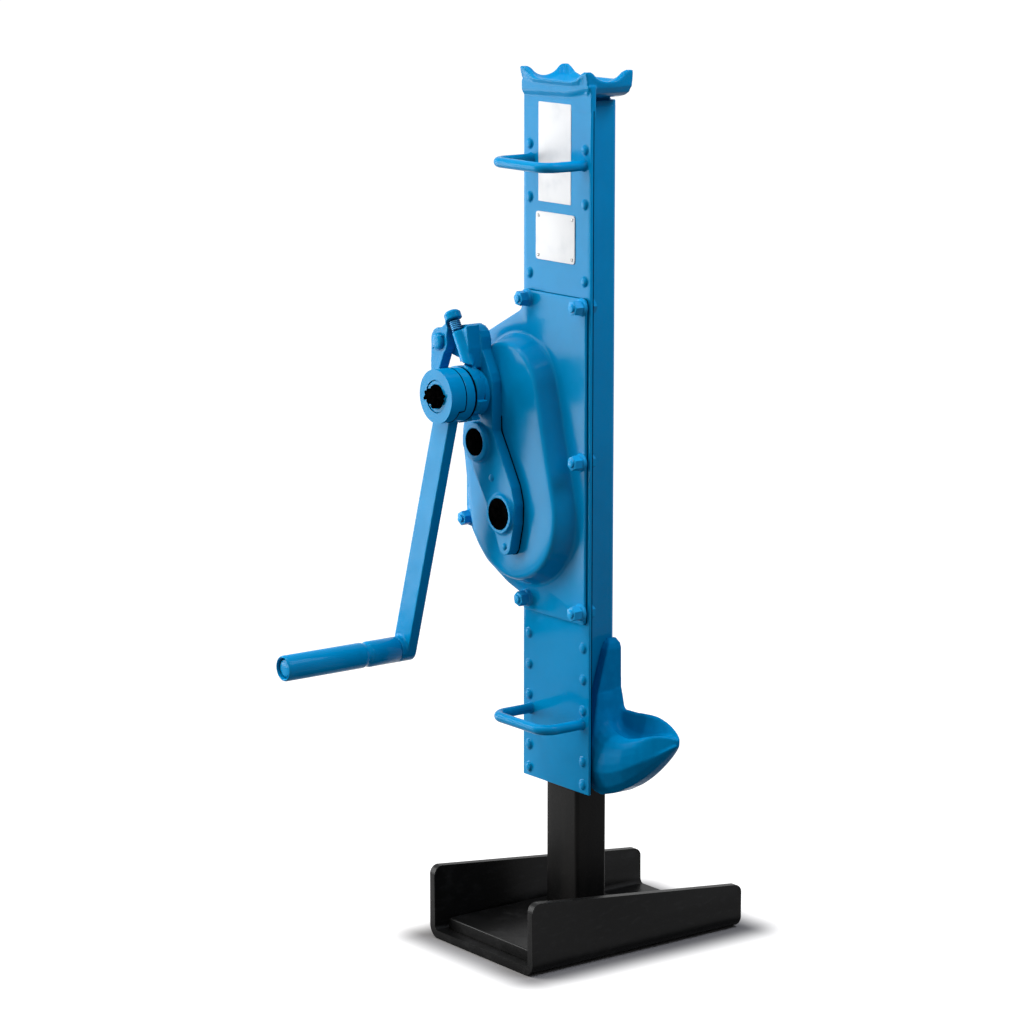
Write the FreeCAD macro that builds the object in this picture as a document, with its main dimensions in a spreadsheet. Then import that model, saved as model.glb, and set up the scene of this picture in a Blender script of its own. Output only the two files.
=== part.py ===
import FreeCAD, Part
import math
import os
from types import SimpleNamespace

import Sketcher
from FreeCAD import Placement, Rotation, Vector

# Rack-type steel jack. Millimetres, +Z up, +X towards the claw, -Y towards the gear cover.
# The origin is on the axis of the rack, at the underside of the base.
# The housing climbs the fixed rack, and it is modelled 92 mm above its lowest place.

doc = FreeCAD.newDocument("steel_jack")
sheet = doc.addObject("Spreadsheet::Sheet", "sizes")

# Driving dimensions, by the piece that they belong to
DRIVING = {
    # base channel and foot plate
    "base_width": 168,
    "base_length": 264,
    "base_shift": 13,
    "base_sheet": 8,
    "base_bend": 13,
    "base_front_wall": 74,
    "base_back_wall": 45,
    "base_corner": 9,
    "foot_gap": 7,
    "foot_length": 176,
    "foot_height": 12,
    "foot_shift": -18.5,
    "weld_leg": 8,
    # rack
    "rack_width": 49,
    "rack_depth": 38,
    "rack_top": 717,
    "rack_edge": 4,
    "rack_module": 5,
    "rack_teeth_lash": 0.4,
    # housing
    "housing_bottom": 159,
    "housing_height": 668.5,
    "housing_sheet": 3,
    "housing_bend": 6,
    "side_gap": 0.7,
    "front_gap": 1,
    "back_gap": 3.5,
    "plate_width": 105,
    "plate_lip": 3,
    "plate_thick": 3,
    "drop": 92,
    "rise": 258,
    # head
    "head_width": 105,
    "head_depth": 65,
    "head_back": 25,
    "head_height": 35.5,
    "head_slot": 9,
    "head_dip": 11,
    "horn_flat": 5,
    "head_spigot": 7,
    # claw
    "claw_reach": 146,
    "claw_top": 305,
    "claw_spine": 11,
    "claw_sole": 155.5,
    "claw_valley": 211,
    "claw_rim": 238,
    # carry handles
    "handle_bar": 10,
    "handle_edge": 11.5,
    "handle_reach": 46,
    "handle_bend": 14,
    "upper_handle_height": 774,
    "lower_handle_height": 228.5,
    # gear train
    "pinion_height": 429.5,
    "stage_two_lean": 30.8,
    "stage_one_lean": 1.2,
    "crank_pinion_teeth": 12,
    "middle_gear_teeth": 28,
    "middle_pinion_teeth": 10,
    "main_gear_teeth": 41,
    "rack_pinion_teeth": 8,
    "stage_one_module": 2.5,
    "stage_two_module": 3,
    "gear_lash": 0.3,
    "rack_pinion_width": 34,
    "middle_gear_width": 7,
    "main_gear_width": 9,
    # gear cover and rear case
    "cover_sheet": 3,
    "dome_depth": 21,
    "dome_slope": 8,
    "dome_foot": 9,
    "dome_round": 5,
    "dome_low_radius": 67,
    "dome_high_radius": 49,
    "case_plate": 5,
    "case_wall": 4,
    # bearing bracket
    "bracket_thick": 12,
    "boss_radius": 19.6,
    "crank_boss_radius": 20,
    "boss_rise": 4,
    "bush_wall": 2.5,
    "front_journal": 10,
    "main_journal": 12,
    "rear_journal": 8,
    "main_rear_journal": 10,
    "rear_bearing": 13,
    "main_rear_bearing": 11,
    # crank
    "crank_throw": 279,
    "crank_lean": 16.4,
    "crank_bar_width": 26,
    "crank_bar_thick": 11,
    "hub_radius": 26.5,
    "hub_length": 17,
    "brake_nut_length": 11,
    "nut_recess": 16.3,
    "dog_height": 6,
    "ratchet_radius": 30,
    "ratchet_depth": 6,
    "ratchet_teeth": 8,
    "ratchet_thick": 10,
    "lining_thick": 1.8,
    "clamp_gap": 1,
    "lining_radius": 23,
    "brake_flange": 5.5,
    "crank_thread": 6.5,
    "castle_nut_flats": 20,
    "castle_nut_height": 10,
    "grip_length": 135,
    "grip_radius": 13,
    "grip_wall": 4,
    # pawl
    "pawl_thick": 11,
    "pawl_pin": 6,
    "pawl_lobe": 13.5,
    "pawl_across": 36,
    "pawl_above": 47.3,
    "spring_coil": 4.6,
    "spring_wire": 1,
    "spring_length": 13,
    "spring_turns": 4.5,
    "spring_bar": 6,
    # rating plate
    "plate_label_width": 61,
    "plate_label_height": 46.6,
    "plate_label_place": 701.5,
    "plate_label_thick": 0.8,
    # fasteners and clearances
    "bolt_edge": 10,
    "bolt_high": 639,
    "bolt_mid": 489,
    "bolt_low": 341,
    "case_bolt_side": 136,
    "case_bolt_low": 407,
    "case_bolt_high": 579,
    "cover_edge": 4,
    "cover_left": 52,
    "cover_case_side": 143,
    "cover_low": 329,
    "cover_high": 647,
    "bolt_radius": 4,
    "nut_flats": 13,
    "nut_height": 9,
    "nut_seat": 3,
    "rivet_radius": 5.8,
    "rivet_height": 4,
    "bolt_gap": 0.2,
    "bearing_gap": 0.03,
    "slide_gap": 0.3,
    "face_gap": 0.2,
}


class Size:
    """A length or a count, with the expression that gives it from the sheet."""

    def __init__(self, value, text):
        self.value = float(value)
        self.text = text

    def __float__(self):
        return self.value

    def __neg__(self):
        return Size(-self.value, f"(-{self.text})")

    def __add__(self, other):
        return Size(self.value + float(other), f"({self.text} + {written(other)})")

    def __radd__(self, other):
        return self + other

    def __sub__(self, other):
        return Size(self.value - float(other), f"({self.text} - {written(other)})")

    def __rsub__(self, other):
        return Size(float(other) - self.value, f"({written(other)} - {self.text})")

    def __mul__(self, other):
        return Size(self.value * float(other), f"({self.text} * {written(other)})")

    def __rmul__(self, other):
        return self * other

    def __truediv__(self, other):
        return Size(self.value / float(other), f"({self.text} / {written(other)})")


def written(number):
    """A size or a plain number as it stands in an expression."""
    return number.text if isinstance(number, Size) else f"({float(number):.6f})"


def fill_sheet():
    """Write the driving dimensions to the sheet and return them as sizes, by name."""
    found = {}
    for row, (name, value) in enumerate(DRIVING.items(), start=1):
        sheet.set(f"A{row}", name)
        sheet.set(f"B{row}", str(value))
        sheet.setAlias(f"B{row}", name)
        found[name] = Size(value, f"sizes.{name}")
    doc.recompute()
    return SimpleNamespace(**found)


s = fill_sheet()
nodes = []


def at(x, y, z):
    return Vector(float(x), float(y), float(z))


def keep(item, name):
    """Give a finished sub-part its name."""
    item.Label = name
    nodes.append(item)
    return item


def bind(item, **sizes):
    """Tie properties to the sheet. A double underscore in a name stands for a dot."""
    for name, size in sizes.items():
        item.setExpression(name.replace("__", "."), written(size))


# Sketched bodies

def new_body(name):
    return doc.addObject("PartDesign::Body", f"{name}_body")


def new_sketch(body, plane, across=0, up=0, out=0):
    """A sketch on an origin plane of its body, moved by across, up and out of the plane."""
    drawing = body.newObject("Sketcher::SketchObject", f"{body.Name}_sketch")
    support = next(f for f in body.Origin.OriginFeatures if f.Role == plane)
    drawing.AttachmentSupport = [(support, "")]
    drawing.MapMode = "FlatFace"
    bind(drawing, AttachmentOffset__Base__x=across, AttachmentOffset__Base__y=up,
         AttachmentOffset__Base__z=out)
    return drawing


def pin_point(drawing, element, point, x, y):
    """Tie a point of a sketch to two sizes, measured from the sketch's origin."""
    for kind, size in (("DistanceX", x), ("DistanceY", y)):
        rule = Sketcher.Constraint(kind, -1, 1, element, point, float(size))
        number = drawing.addConstraint(rule)
        drawing.setExpression(f"Constraints[{number}]", written(size))


def outline(drawing, corners):
    """A closed outline of straight lines through corners, each tied to its sizes."""
    first = drawing.GeometryCount
    count = len(corners)
    for i, (x, y) in enumerate(corners):
        next_x, next_y = corners[(i + 1) % count]
        drawing.addGeometry(Part.LineSegment(at(x, y, 0), at(next_x, next_y, 0)))
    for i in range(count):
        drawing.addConstraint(
            Sketcher.Constraint("Coincident", first + i, 2, first + (i + 1) % count, 1))
    for i, (x, y) in enumerate(corners):
        pin_point(drawing, first + i, 1, x, y)


def rectangle(drawing, left, right, low, high):
    outline(drawing, [(left, low), (right, low), (right, high), (left, high)])


def circle(drawing, x, y, radius):
    number = drawing.addGeometry(Part.Circle(at(x, y, 0), Vector(0, 0, 1), float(radius)))
    pin_point(drawing, number, 3, x, y)
    rule = drawing.addConstraint(Sketcher.Constraint("Radius", number, float(radius)))
    drawing.setExpression(f"Constraints[{rule}]", written(radius))


def pad(body, drawing, length, both_ways=False):
    feature = body.newObject("PartDesign::Pad", f"{body.Name}_pad")
    feature.Profile = drawing
    feature.Midplane = both_ways
    bind(feature, Length=length)
    return feature


def pocket(body, drawing, length, both_ways=False):
    """Cut a sketch out of its body, and make sure that something was cut."""
    doc.recompute()
    before = body.Shape.Volume
    feature = body.newObject("PartDesign::Pocket", f"{body.Name}_pocket")
    feature.Profile = drawing
    feature.Midplane = both_ways
    bind(feature, Length=length)
    doc.recompute()
    if body.Shape.Volume > before - 1:
        raise ValueError(f"{body.Name}: a pocket cut nothing")
    return feature


def round_edges(body, base, radius, wanted):
    """Fillet the edges of a feature that wanted(edge) picks."""
    doc.recompute()
    names = [f"Edge{i + 1}" for i, edge in enumerate(base.Shape.Edges) if wanted(edge)]
    feature = body.newObject("PartDesign::Fillet", f"{body.Name}_fillet")
    feature.Base = (base, names)
    bind(feature, Radius=radius)
    return feature


def chamfer_edges(body, base, size, wanted):
    """Chamfer the edges of a feature that wanted(edge) picks."""
    doc.recompute()
    names = [f"Edge{i + 1}" for i, edge in enumerate(base.Shape.Edges) if wanted(edge)]
    feature = body.newObject("PartDesign::Chamfer", f"{body.Name}_chamfer")
    feature.Base = (base, names)
    bind(feature, Size=size)
    return feature


def runs_along(edge, direction):
    ends = [vertex.Point for vertex in edge.Vertexes]
    if len(ends) < 2 or edge.Curve.TypeId != "Part::GeomLine":
        return False
    return (ends[1] - ends[0]).normalize().cross(direction).Length < 1e-6


def turned(name, x, z, profile):
    """A piece turned about the line through x and z along Y. The profile is (radius, y)."""
    body = new_body(name)
    drawing = new_sketch(body, "XY_Plane", across=x, out=z)
    outline(drawing, profile)
    feature = body.newObject("PartDesign::Revolution", f"{name}_turn")
    feature.Profile = drawing
    feature.ReferenceAxis = (drawing, ["V_Axis"])
    feature.Angle = 360
    return body


def faceted(name, x, z, sides, radius, front, back, front_radius=None):
    """A small head or shank with flat sides along Y, which may taper towards the front."""
    body = new_body(name)
    faces = []
    for depth, size in ((back, radius), (front, front_radius or radius)):
        drawing = new_sketch(body, "XZ_Plane", across=x, up=z, out=-depth)
        outline(drawing, [(size * math.cos(math.tau * i / sides), size * math.sin(math.tau * i / sides))
                          for i in range(sides)])
        faces.append(drawing)
    solid = body.newObject("PartDesign::AdditiveLoft", f"{name}_loft")
    solid.Profile = faces[0]
    solid.Sections = [faces[1]]
    solid.Ruled = True
    return body


def ring(name, x, z, inside, outside, front, back):
    return turned(name, x, z, [(inside, back), (outside, back), (outside, front), (inside, front)])


def disc(name, x, z, outside, front, back):
    return ring(name, x, z, 0, outside, front, back)


def fused(name, items):
    joined = doc.addObject("Part::MultiFuse", f"{name}_join")
    joined.Shapes = items
    joined.Refine = True
    return joined


def cut(name, base, tool):
    result = doc.addObject("Part::Cut", f"{name}_cut")
    result.Base = base
    result.Tool = tool
    return result


def group(name, items):
    """Separate solids of one kind, kept as one sub-part."""
    joined = doc.addObject("Part::Compound", f"{name}_group")
    joined.Links = items
    return joined


def plain(name, shape):
    """A shape made by Part's functions from sizes read in this file."""
    item = doc.addObject("Part::Feature", name)
    item.Shape = shape
    return item


# Outlines that are worked out point by point, in the XZ plane

def flat(points, y):
    """A flat face at depth y with straight sides through points (x, z)."""
    corners = [at(x, y, z) for x, z in points]
    return Part.Face(Part.makePolygon(corners + corners[:1]))


def slab(points, front, back):
    """A solid between two depths, with straight sides through points (x, z)."""
    return flat(points, back).extrude(Vector(0, float(front) - float(back), 0))


def polar(centre, radius, degrees):
    """A point at radius and angle from centre, the angle running from +X towards +Z."""
    turn = math.radians(degrees)
    return (centre[0] + radius * math.cos(turn), centre[1] + radius * math.sin(turn))


def hull(circles, grow, y, step=15):
    """A taut outline of short straight runs round circles (x, z, radius), named anticlockwise."""
    count = len(circles)
    normals = []
    for i, (x, z, radius) in enumerate(circles):
        next_x, next_z, next_radius = circles[(i + 1) % count]
        span = math.hypot(next_x - x, next_z - z)
        lean = math.acos((radius - next_radius) / span)
        normals.append(math.degrees(math.atan2(next_z - z, next_x - x) - lean))
    corners = []
    for i, (x, z, radius) in enumerate(circles):
        sweep = (normals[i] - normals[i - 1]) % 360
        runs = math.ceil(sweep / step)
        for k in range(runs + 1):
            px, pz = polar((x, z), radius + grow, normals[i - 1] + sweep * k / runs)
            corners.append(at(px, y, pz))
    return Part.makePolygon(corners + corners[:1])


def round_slab(centre, radius, front, back, sides=24):
    """A disc between two depths, with flat sides all round."""
    return slab([polar(centre, radius, 360 * i / sides) for i in range(sides)], front, back)


def bore(x, z, radius, front, back):
    """A cylinder along Y between two depths."""
    length = float(back) - float(front)
    return Part.makeCylinder(float(radius), length, at(x, front, z), Vector(0, 1, 0))


def box(left, right, front, back, low, high):
    sizes = [float(right) - float(left), float(back) - float(front), float(high) - float(low)]
    return Part.makeBox(*sizes, at(left, front, low))


# Planes of the housing, from back to front
side_in = s.rack_width / 2 + s.side_gap
side_out = side_in + s.housing_sheet
flange_back = -(s.rack_depth / 2 + s.front_gap)
plate_back = flange_back - s.housing_sheet
plate_face = plate_back - s.plate_thick
cover_face = plate_face - s.cover_sheet
dome_face = cover_face - s.dome_depth
bracket_face = dome_face - s.bracket_thick
crank_boss_face = bracket_face - s.boss_rise / 2
boss_face = bracket_face - s.boss_rise
web_in = s.rack_depth / 2 + s.back_gap
web_out = web_in + s.housing_sheet
housing_top = s.housing_bottom + s.housing_height
flange_half = s.plate_width / 2 - s.plate_lip
bolt_side = s.plate_width / 2 - s.bolt_edge
cover_right = s.plate_width / 2 - s.cover_edge

# Gear geometry: stub teeth with a steep flank, so that small pinions aren't undercut
PRESSURE = math.radians(25)
ADDENDUM = 0.8
DEDENDUM = 1.05
RACK_PINION_SHIFT = 0.1
rack_pitch = math.pi * s.rack_module
rack_line = -s.rack_width / 2 + ADDENDUM * s.rack_module

main_x = rack_line - s.rack_module * (s.rack_pinion_teeth / 2 + RACK_PINION_SHIFT)
main_z = s.pinion_height
stage_two = s.stage_two_module * (s.middle_pinion_teeth + s.main_gear_teeth) / 2
stage_one = s.stage_one_module * (s.crank_pinion_teeth + s.middle_gear_teeth) / 2
two_lean = math.radians(s.stage_two_lean.value)
one_lean = math.radians(s.stage_one_lean.value)
middle_x = main_x - stage_two * math.sin(two_lean)
middle_z = main_z + stage_two * math.cos(two_lean)
crank_x = middle_x + stage_one * math.sin(one_lean)
crank_z = middle_z + stage_one * math.cos(one_lean)
MAIN = (main_x.value, main_z.value)
MIDDLE = (middle_x.value, middle_z.value)
CRANK = (crank_x.value, crank_z.value)

# Depths of the gear train, from the front plate forward
main_gear_back = plate_face - 1
main_gear_front = main_gear_back - s.main_gear_width
middle_gear_back = main_gear_front - 1
middle_gear_front = middle_gear_back - s.middle_gear_width
dome_inner = dome_face + s.cover_sheet
rear_floor = plate_face + s.rear_bearing

# Depths of the crank, from the bracket forward
flange_rear = crank_boss_face - 0.5
flange_front = flange_rear - s.brake_flange
rear_lining_front = flange_front - s.lining_thick
ratchet_back = rear_lining_front - s.face_gap
ratchet_front = ratchet_back - s.ratchet_thick
lining_back = ratchet_front - s.face_gap
hub_back = lining_back - s.lining_thick
hub_front = hub_back - s.hub_length
dog_back = hub_front + s.dog_height
brake_nut_back = hub_front - s.clamp_gap
brake_nut_front = brake_nut_back - s.brake_nut_length
grip_centre = polar(CRANK, s.crank_throw.value, -90 - s.crank_lean.value)


# Base: a bent channel, a raised foot plate and the rack that stands on it

def base_channel():
    """A channel whose side walls fall away towards the back, open at both ends."""
    body = new_body("base_channel")
    half = s.base_width / 2
    front = s.base_shift - s.base_length / 2
    back = s.base_shift + s.base_length / 2
    section = new_sketch(body, "XZ_Plane", out=-back)
    outline(section, [(-half, 0), (half, 0), (half, s.base_front_wall),
                      (half - s.base_sheet, s.base_front_wall),
                      (half - s.base_sheet, s.base_sheet),
                      (s.base_sheet - half, s.base_sheet),
                      (s.base_sheet - half, s.base_front_wall), (-half, s.base_front_wall)])
    sheet_metal = pad(body, section, s.base_length)
    along = Vector(0, 1, 0)
    outer = round_edges(body, sheet_metal, s.base_bend,
                        lambda e: runs_along(e, along) and e.CenterOfMass.z < 1)
    inner_level = s.base_sheet.value
    round_edges(body, outer, s.base_bend - s.base_sheet,
                lambda e: runs_along(e, along) and abs(e.CenterOfMass.z - inner_level) < 0.1
                and abs(e.CenterOfMass.x) > half.value - inner_level - 0.1)
    slope = new_sketch(body, "YZ_Plane")
    outline(slope, [(front, s.base_front_wall), (back, s.base_back_wall),
                    (back + 1, s.base_back_wall), (back + 1, s.base_front_wall + 1),
                    (front, s.base_front_wall + 1)])
    tapered = pocket(body, slope, s.base_width + 2, both_ways=True)
    across = Vector(1, 0, 0)
    round_edges(body, tapered, s.base_corner,
                lambda e: runs_along(e, across) and e.Length < s.base_sheet.value + 0.1
                and e.CenterOfMass.z > s.base_back_wall.value - 1)
    keep(body, "base_channel")


def foot_plate():
    body = new_body("foot_plate")
    drawing = new_sketch(body, "XY_Plane", out=s.base_sheet)
    half = s.base_width / 2 - s.base_sheet - s.foot_gap
    rectangle(drawing, -half, half,
              s.foot_shift - s.foot_length / 2, s.foot_shift + s.foot_length / 2)
    slab_up = pad(body, drawing, s.foot_height)
    round_edges(body, slab_up, 1.5, lambda e: e.CenterOfMass.z > s.base_sheet.value + 1
                and not runs_along(e, Vector(0, 0, 1)))
    keep(body, "foot_plate")


rack_foot = s.base_sheet + s.foot_height
gaps_below = math.ceil((s.drop.value + 4.9 * s.rack_module.value) / rack_pitch.value)
gaps_above = int((s.rise.value + 4.9 * s.rack_module.value) / rack_pitch.value) + 1


def toothed_rack():
    """A plain bar whose upper part is cut with straight-flanked teeth on the -X side."""
    body = new_body("toothed_rack")
    bar = new_sketch(body, "XY_Plane", out=rack_foot)
    rectangle(bar, -s.rack_width / 2, s.rack_width / 2, -s.rack_depth / 2, s.rack_depth / 2)
    standing = pad(body, bar, s.rack_top - rack_foot)
    upright = Vector(0, 0, 1)
    rounded = round_edges(body, standing, s.rack_edge,
                          lambda e: runs_along(e, upright) and e.CenterOfMass.x > 0)
    chamfer_edges(body, rounded, s.rack_edge / 2,
                  lambda e: runs_along(e, upright) and e.CenterOfMass.x < 1 - s.rack_width.value / 2)
    root = rack_line + DEDENDUM * s.rack_module
    mouth = -s.rack_width / 2 - 1
    lean = math.tan(PRESSURE)
    middle = main_z - rack_pitch * gaps_below
    half_root = (rack_pitch / 4) + s.rack_teeth_lash / 2 - lean * (root - rack_line)
    half_mouth = (rack_pitch / 4) + s.rack_teeth_lash / 2 + lean * (rack_line - mouth)
    gap = new_sketch(body, "XZ_Plane")
    outline(gap, [(mouth, middle - half_mouth), (root, middle - half_root),
                  (root, middle + half_root), (mouth, middle + half_mouth)])
    first = pocket(body, gap, s.rack_depth + 2, both_ways=True)
    row = body.newObject("PartDesign::LinearPattern", "rack_teeth")
    row.Originals = [first]
    z_axis = next(f for f in body.Origin.OriginFeatures if f.Role == "Z_Axis")
    row.Direction = (z_axis, [""])
    row.Occurrences = gaps_below + gaps_above + 1
    bind(row, Length=rack_pitch * (gaps_below + gaps_above))
    body.Tip = row
    keep(body, "toothed_rack")


def rack_weld():
    """The fillet bead round the foot of the rack."""
    half_x = s.rack_width.value / 2
    half_y = s.rack_depth.value / 2
    leg = s.weld_leg.value

    def loop(grow, z):
        corners = [(-half_x - grow, -half_y - grow), (half_x + grow, -half_y - grow),
                   (half_x + grow, half_y + grow), (-half_x - grow, half_y + grow)]
        return Part.makePolygon([at(x, y, z) for x, y in corners + corners[:1]])

    low = float(rack_foot)
    bead = Part.makeLoft([loop(leg, low), loop(leg * 0.55, low + leg * 0.55), loop(0.05, low + leg)],
                         True, True)
    bar = box(-half_x, half_x, -half_y, half_y, low - 1, low + leg + 1)
    keep(plain("weld", bead.cut(bar)), "rack_weld")


# Housing: a bent hat section that slides on the rack, closed in front by a riveted plate

def bolt_places():
    """Bolts that hold the gear cover to the front plate."""
    return [(-bolt_side, s.bolt_high), (bolt_side, s.bolt_high), (bolt_side, s.bolt_mid),
            (bolt_side, s.bolt_low), (-bolt_side, s.bolt_low)]


def case_bolt_places():
    """Bolts that hold the gear cover to the rear case."""
    return [(-s.case_bolt_side, s.case_bolt_low), (14 - s.case_bolt_side, s.case_bolt_high)]


pinion_tip = s.rack_module * (s.rack_pinion_teeth / 2 + ADDENDUM + RACK_PINION_SHIFT)
window_half = pinion_tip + 2
notch_half = window_half + s.case_wall + 0.3


def bolt_holes(drawing, places):
    for x, z in places:
        circle(drawing, x, z, s.bolt_radius + s.bolt_gap)


def housing_body():
    """Hat section with a window for the rack pinion in its -X wall."""
    body = new_body("housing_body")
    rim = flange_half
    section = new_sketch(body, "XY_Plane", out=s.housing_bottom)
    outline(section, [(-rim, plate_back), (-side_in, plate_back), (-side_in, web_in),
                      (side_in, web_in), (side_in, plate_back), (rim, plate_back),
                      (rim, flange_back), (side_out, flange_back), (side_out, web_out),
                      (-side_out, web_out), (-side_out, flange_back), (-rim, flange_back)])
    channel = pad(body, section, s.housing_height)
    upright = Vector(0, 0, 1)
    bent = round_edges(body, channel, s.housing_bend,
                       lambda e: runs_along(e, upright)
                       and e.CenterOfMass.y > web_out.value - 0.1)
    round_edges(body, bent, s.housing_bend - s.housing_sheet,
                lambda e: runs_along(e, upright)
                and abs(e.CenterOfMass.y - web_in.value) < 0.1
                and abs(abs(e.CenterOfMass.x) - side_in.value) < 0.1)
    window = new_sketch(body, "YZ_Plane", out=1 - side_in)
    rectangle(window, plate_back - 1, s.rack_depth / 2, main_z - window_half, main_z + window_half)
    pocket(body, window, s.housing_sheet + 2)
    notch = new_sketch(body, "XZ_Plane", out=1 - plate_back)
    rectangle(notch, -rim - 1, -side_out, main_z - notch_half, main_z + notch_half)
    pocket(body, notch, s.housing_sheet + 1.5)
    holes = new_sketch(body, "XZ_Plane", out=1 - plate_back)
    bolt_holes(holes, bolt_places())
    pocket(body, holes, s.housing_sheet + 2)
    keep(body, "housing_body")


def front_plate():
    body = new_body("front_plate")
    face = new_sketch(body, "XZ_Plane", out=-plate_back)
    half = s.plate_width / 2
    rectangle(face, -half, half, s.housing_bottom, housing_top)
    pad(body, face, s.plate_thick)
    notch = new_sketch(body, "XZ_Plane", out=1 - plate_face)
    rectangle(notch, -half - 1, -side_out, main_z - notch_half, main_z + notch_half)
    rectangle(notch, -side_out, main_x + s.front_journal * 2, main_z - window_half / 1.2,
              main_z + window_half / 1.2)
    pocket(body, notch, s.plate_thick + 2)
    holes = new_sketch(body, "XZ_Plane", out=1 - plate_face)
    bolt_holes(holes, bolt_places())
    pocket(body, holes, s.plate_thick + 2)
    keep(body, "front_plate")


def rack_guides():
    """A collar at the foot of the housing and a pad behind the rack, opposite the pinion."""
    body = new_body("lower_rack_guide")
    drawing = new_sketch(body, "XY_Plane", out=s.housing_bottom + 4)
    rectangle(drawing, -side_in, side_in, plate_back, web_in)
    rectangle(drawing, -s.rack_width / 2 - s.slide_gap, s.rack_width / 2 + s.slide_gap,
              -s.rack_depth / 2 - s.slide_gap, s.rack_depth / 2 + s.slide_gap)
    collar = pad(body, drawing, 30)
    round_edges(body, collar, s.housing_bend - s.housing_sheet,
                lambda e: runs_along(e, Vector(0, 0, 1)) and e.CenterOfMass.y > web_in.value - 0.1)
    keep(body, "lower_rack_guide")
    backing = doc.addObject("Part::Box", "backing_pad")
    bind(backing, Length=s.side_gap - s.slide_gap, Width=s.rack_depth - 10, Height=2 * pinion_tip,
         Placement__Base__x=s.rack_width / 2 + s.slide_gap,
         Placement__Base__y=5 - s.rack_depth / 2,
         Placement__Base__z=main_z - pinion_tip)
    keep(backing, "pinion_backing_pad")


def carry_handle(name, height):
    """A round bar bent to a U and welded to the front plate by its two ends."""
    body = new_body(name)
    half = s.plate_width / 2 - s.handle_edge
    reach = plate_face - s.handle_reach
    bend = s.handle_bend
    path = new_sketch(body, "XY_Plane", out=height)
    corner = float(reach + bend)
    turn_in = float(half - bend)
    lines = [((-half, plate_face), (-half, corner)), ((-turn_in, reach), (turn_in, reach)),
             ((half, corner), (half, plate_face))]
    for (x1, y1), (x2, y2) in lines:
        path.addGeometry(Part.LineSegment(at(x1, y1, 0), at(x2, y2, 0)))
    for side, start in ((-1, math.pi), (1, 1.5 * math.pi)):
        bend_circle = Part.Circle(at(side * turn_in, corner, 0), Vector(0, 0, 1), float(bend))
        path.addGeometry(Part.ArcOfCircle(bend_circle, start, start + math.pi / 2))
    for line, end, arc, arc_end in ((0, 2, 3, 1), (1, 1, 3, 2), (1, 2, 4, 1), (2, 1, 4, 2)):
        path.addConstraint(Sketcher.Constraint("Tangent", line, end, arc, arc_end))
    pin_point(path, 0, 1, -half, plate_face)
    pin_point(path, 2, 2, half, plate_face)
    for rule in (("Vertical", 0), ("Vertical", 2), ("Horizontal", 1)):
        path.addConstraint(Sketcher.Constraint(*rule))
    for kind, args, size in (("DistanceY", (-1, 1, 1, 1), reach), ("Radius", (3,), bend),
                             ("Radius", (4,), bend)):
        number = path.addConstraint(Sketcher.Constraint(kind, *args, float(size)))
        path.setExpression(f"Constraints[{number}]", size.text)
    section = new_sketch(body, "XZ_Plane", out=-plate_face)
    radius = s.handle_bar / 2
    outline(section, [(radius * math.cos(math.tau * i / 12) - half,
                       radius * math.sin(math.tau * i / 12) + height) for i in range(12)])
    bar = body.newObject("PartDesign::AdditivePipe", f"{name}_pipe")
    bar.Profile = section
    bar.Spine = (path, [])
    keep(body, name)


RIVET_HEIGHTS = (168, 191, 242.5, 273.4, 305, 663.5, 737, 788.5)


def plate_rivets():
    """Round heads in front of the plate and flat closing heads behind the flange."""
    heads = []
    for side in (-1, 1):
        x = side * (bolt_side + 0.5)
        for i, z in enumerate(RIVET_HEIGHTS):
            heads.append(faceted(f"rivet_{len(heads)}", x, z, 8, s.rivet_radius,
                                 plate_face - s.rivet_height, plate_face, s.rivet_radius * 0.6))
            heads.append(faceted(f"rivet_{len(heads)}", x, z, 6, s.rivet_radius * 0.8,
                                 flange_back, flange_back + 1.5))
    keep(group("rivets", heads), "plate_rivets")


def rating_plate():
    body = new_body("rating_plate")
    face = new_sketch(body, "XZ_Plane", out=-plate_face)
    half_x = s.plate_label_width / 2
    half_z = s.plate_label_height / 2
    rectangle(face, -half_x - 2, half_x - 2, s.plate_label_place - half_z,
              s.plate_label_place + half_z)
    card = pad(body, face, s.plate_label_thick)
    round_edges(body, card, 4, lambda e: runs_along(e, Vector(0, 1, 0)))
    keep(body, "rating_plate")


# Pieces below are worked out with Part's functions, so they read plain numbers from the sheet.
n = SimpleNamespace(**{name: sheet.get(name) for name in DRIVING})


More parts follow.
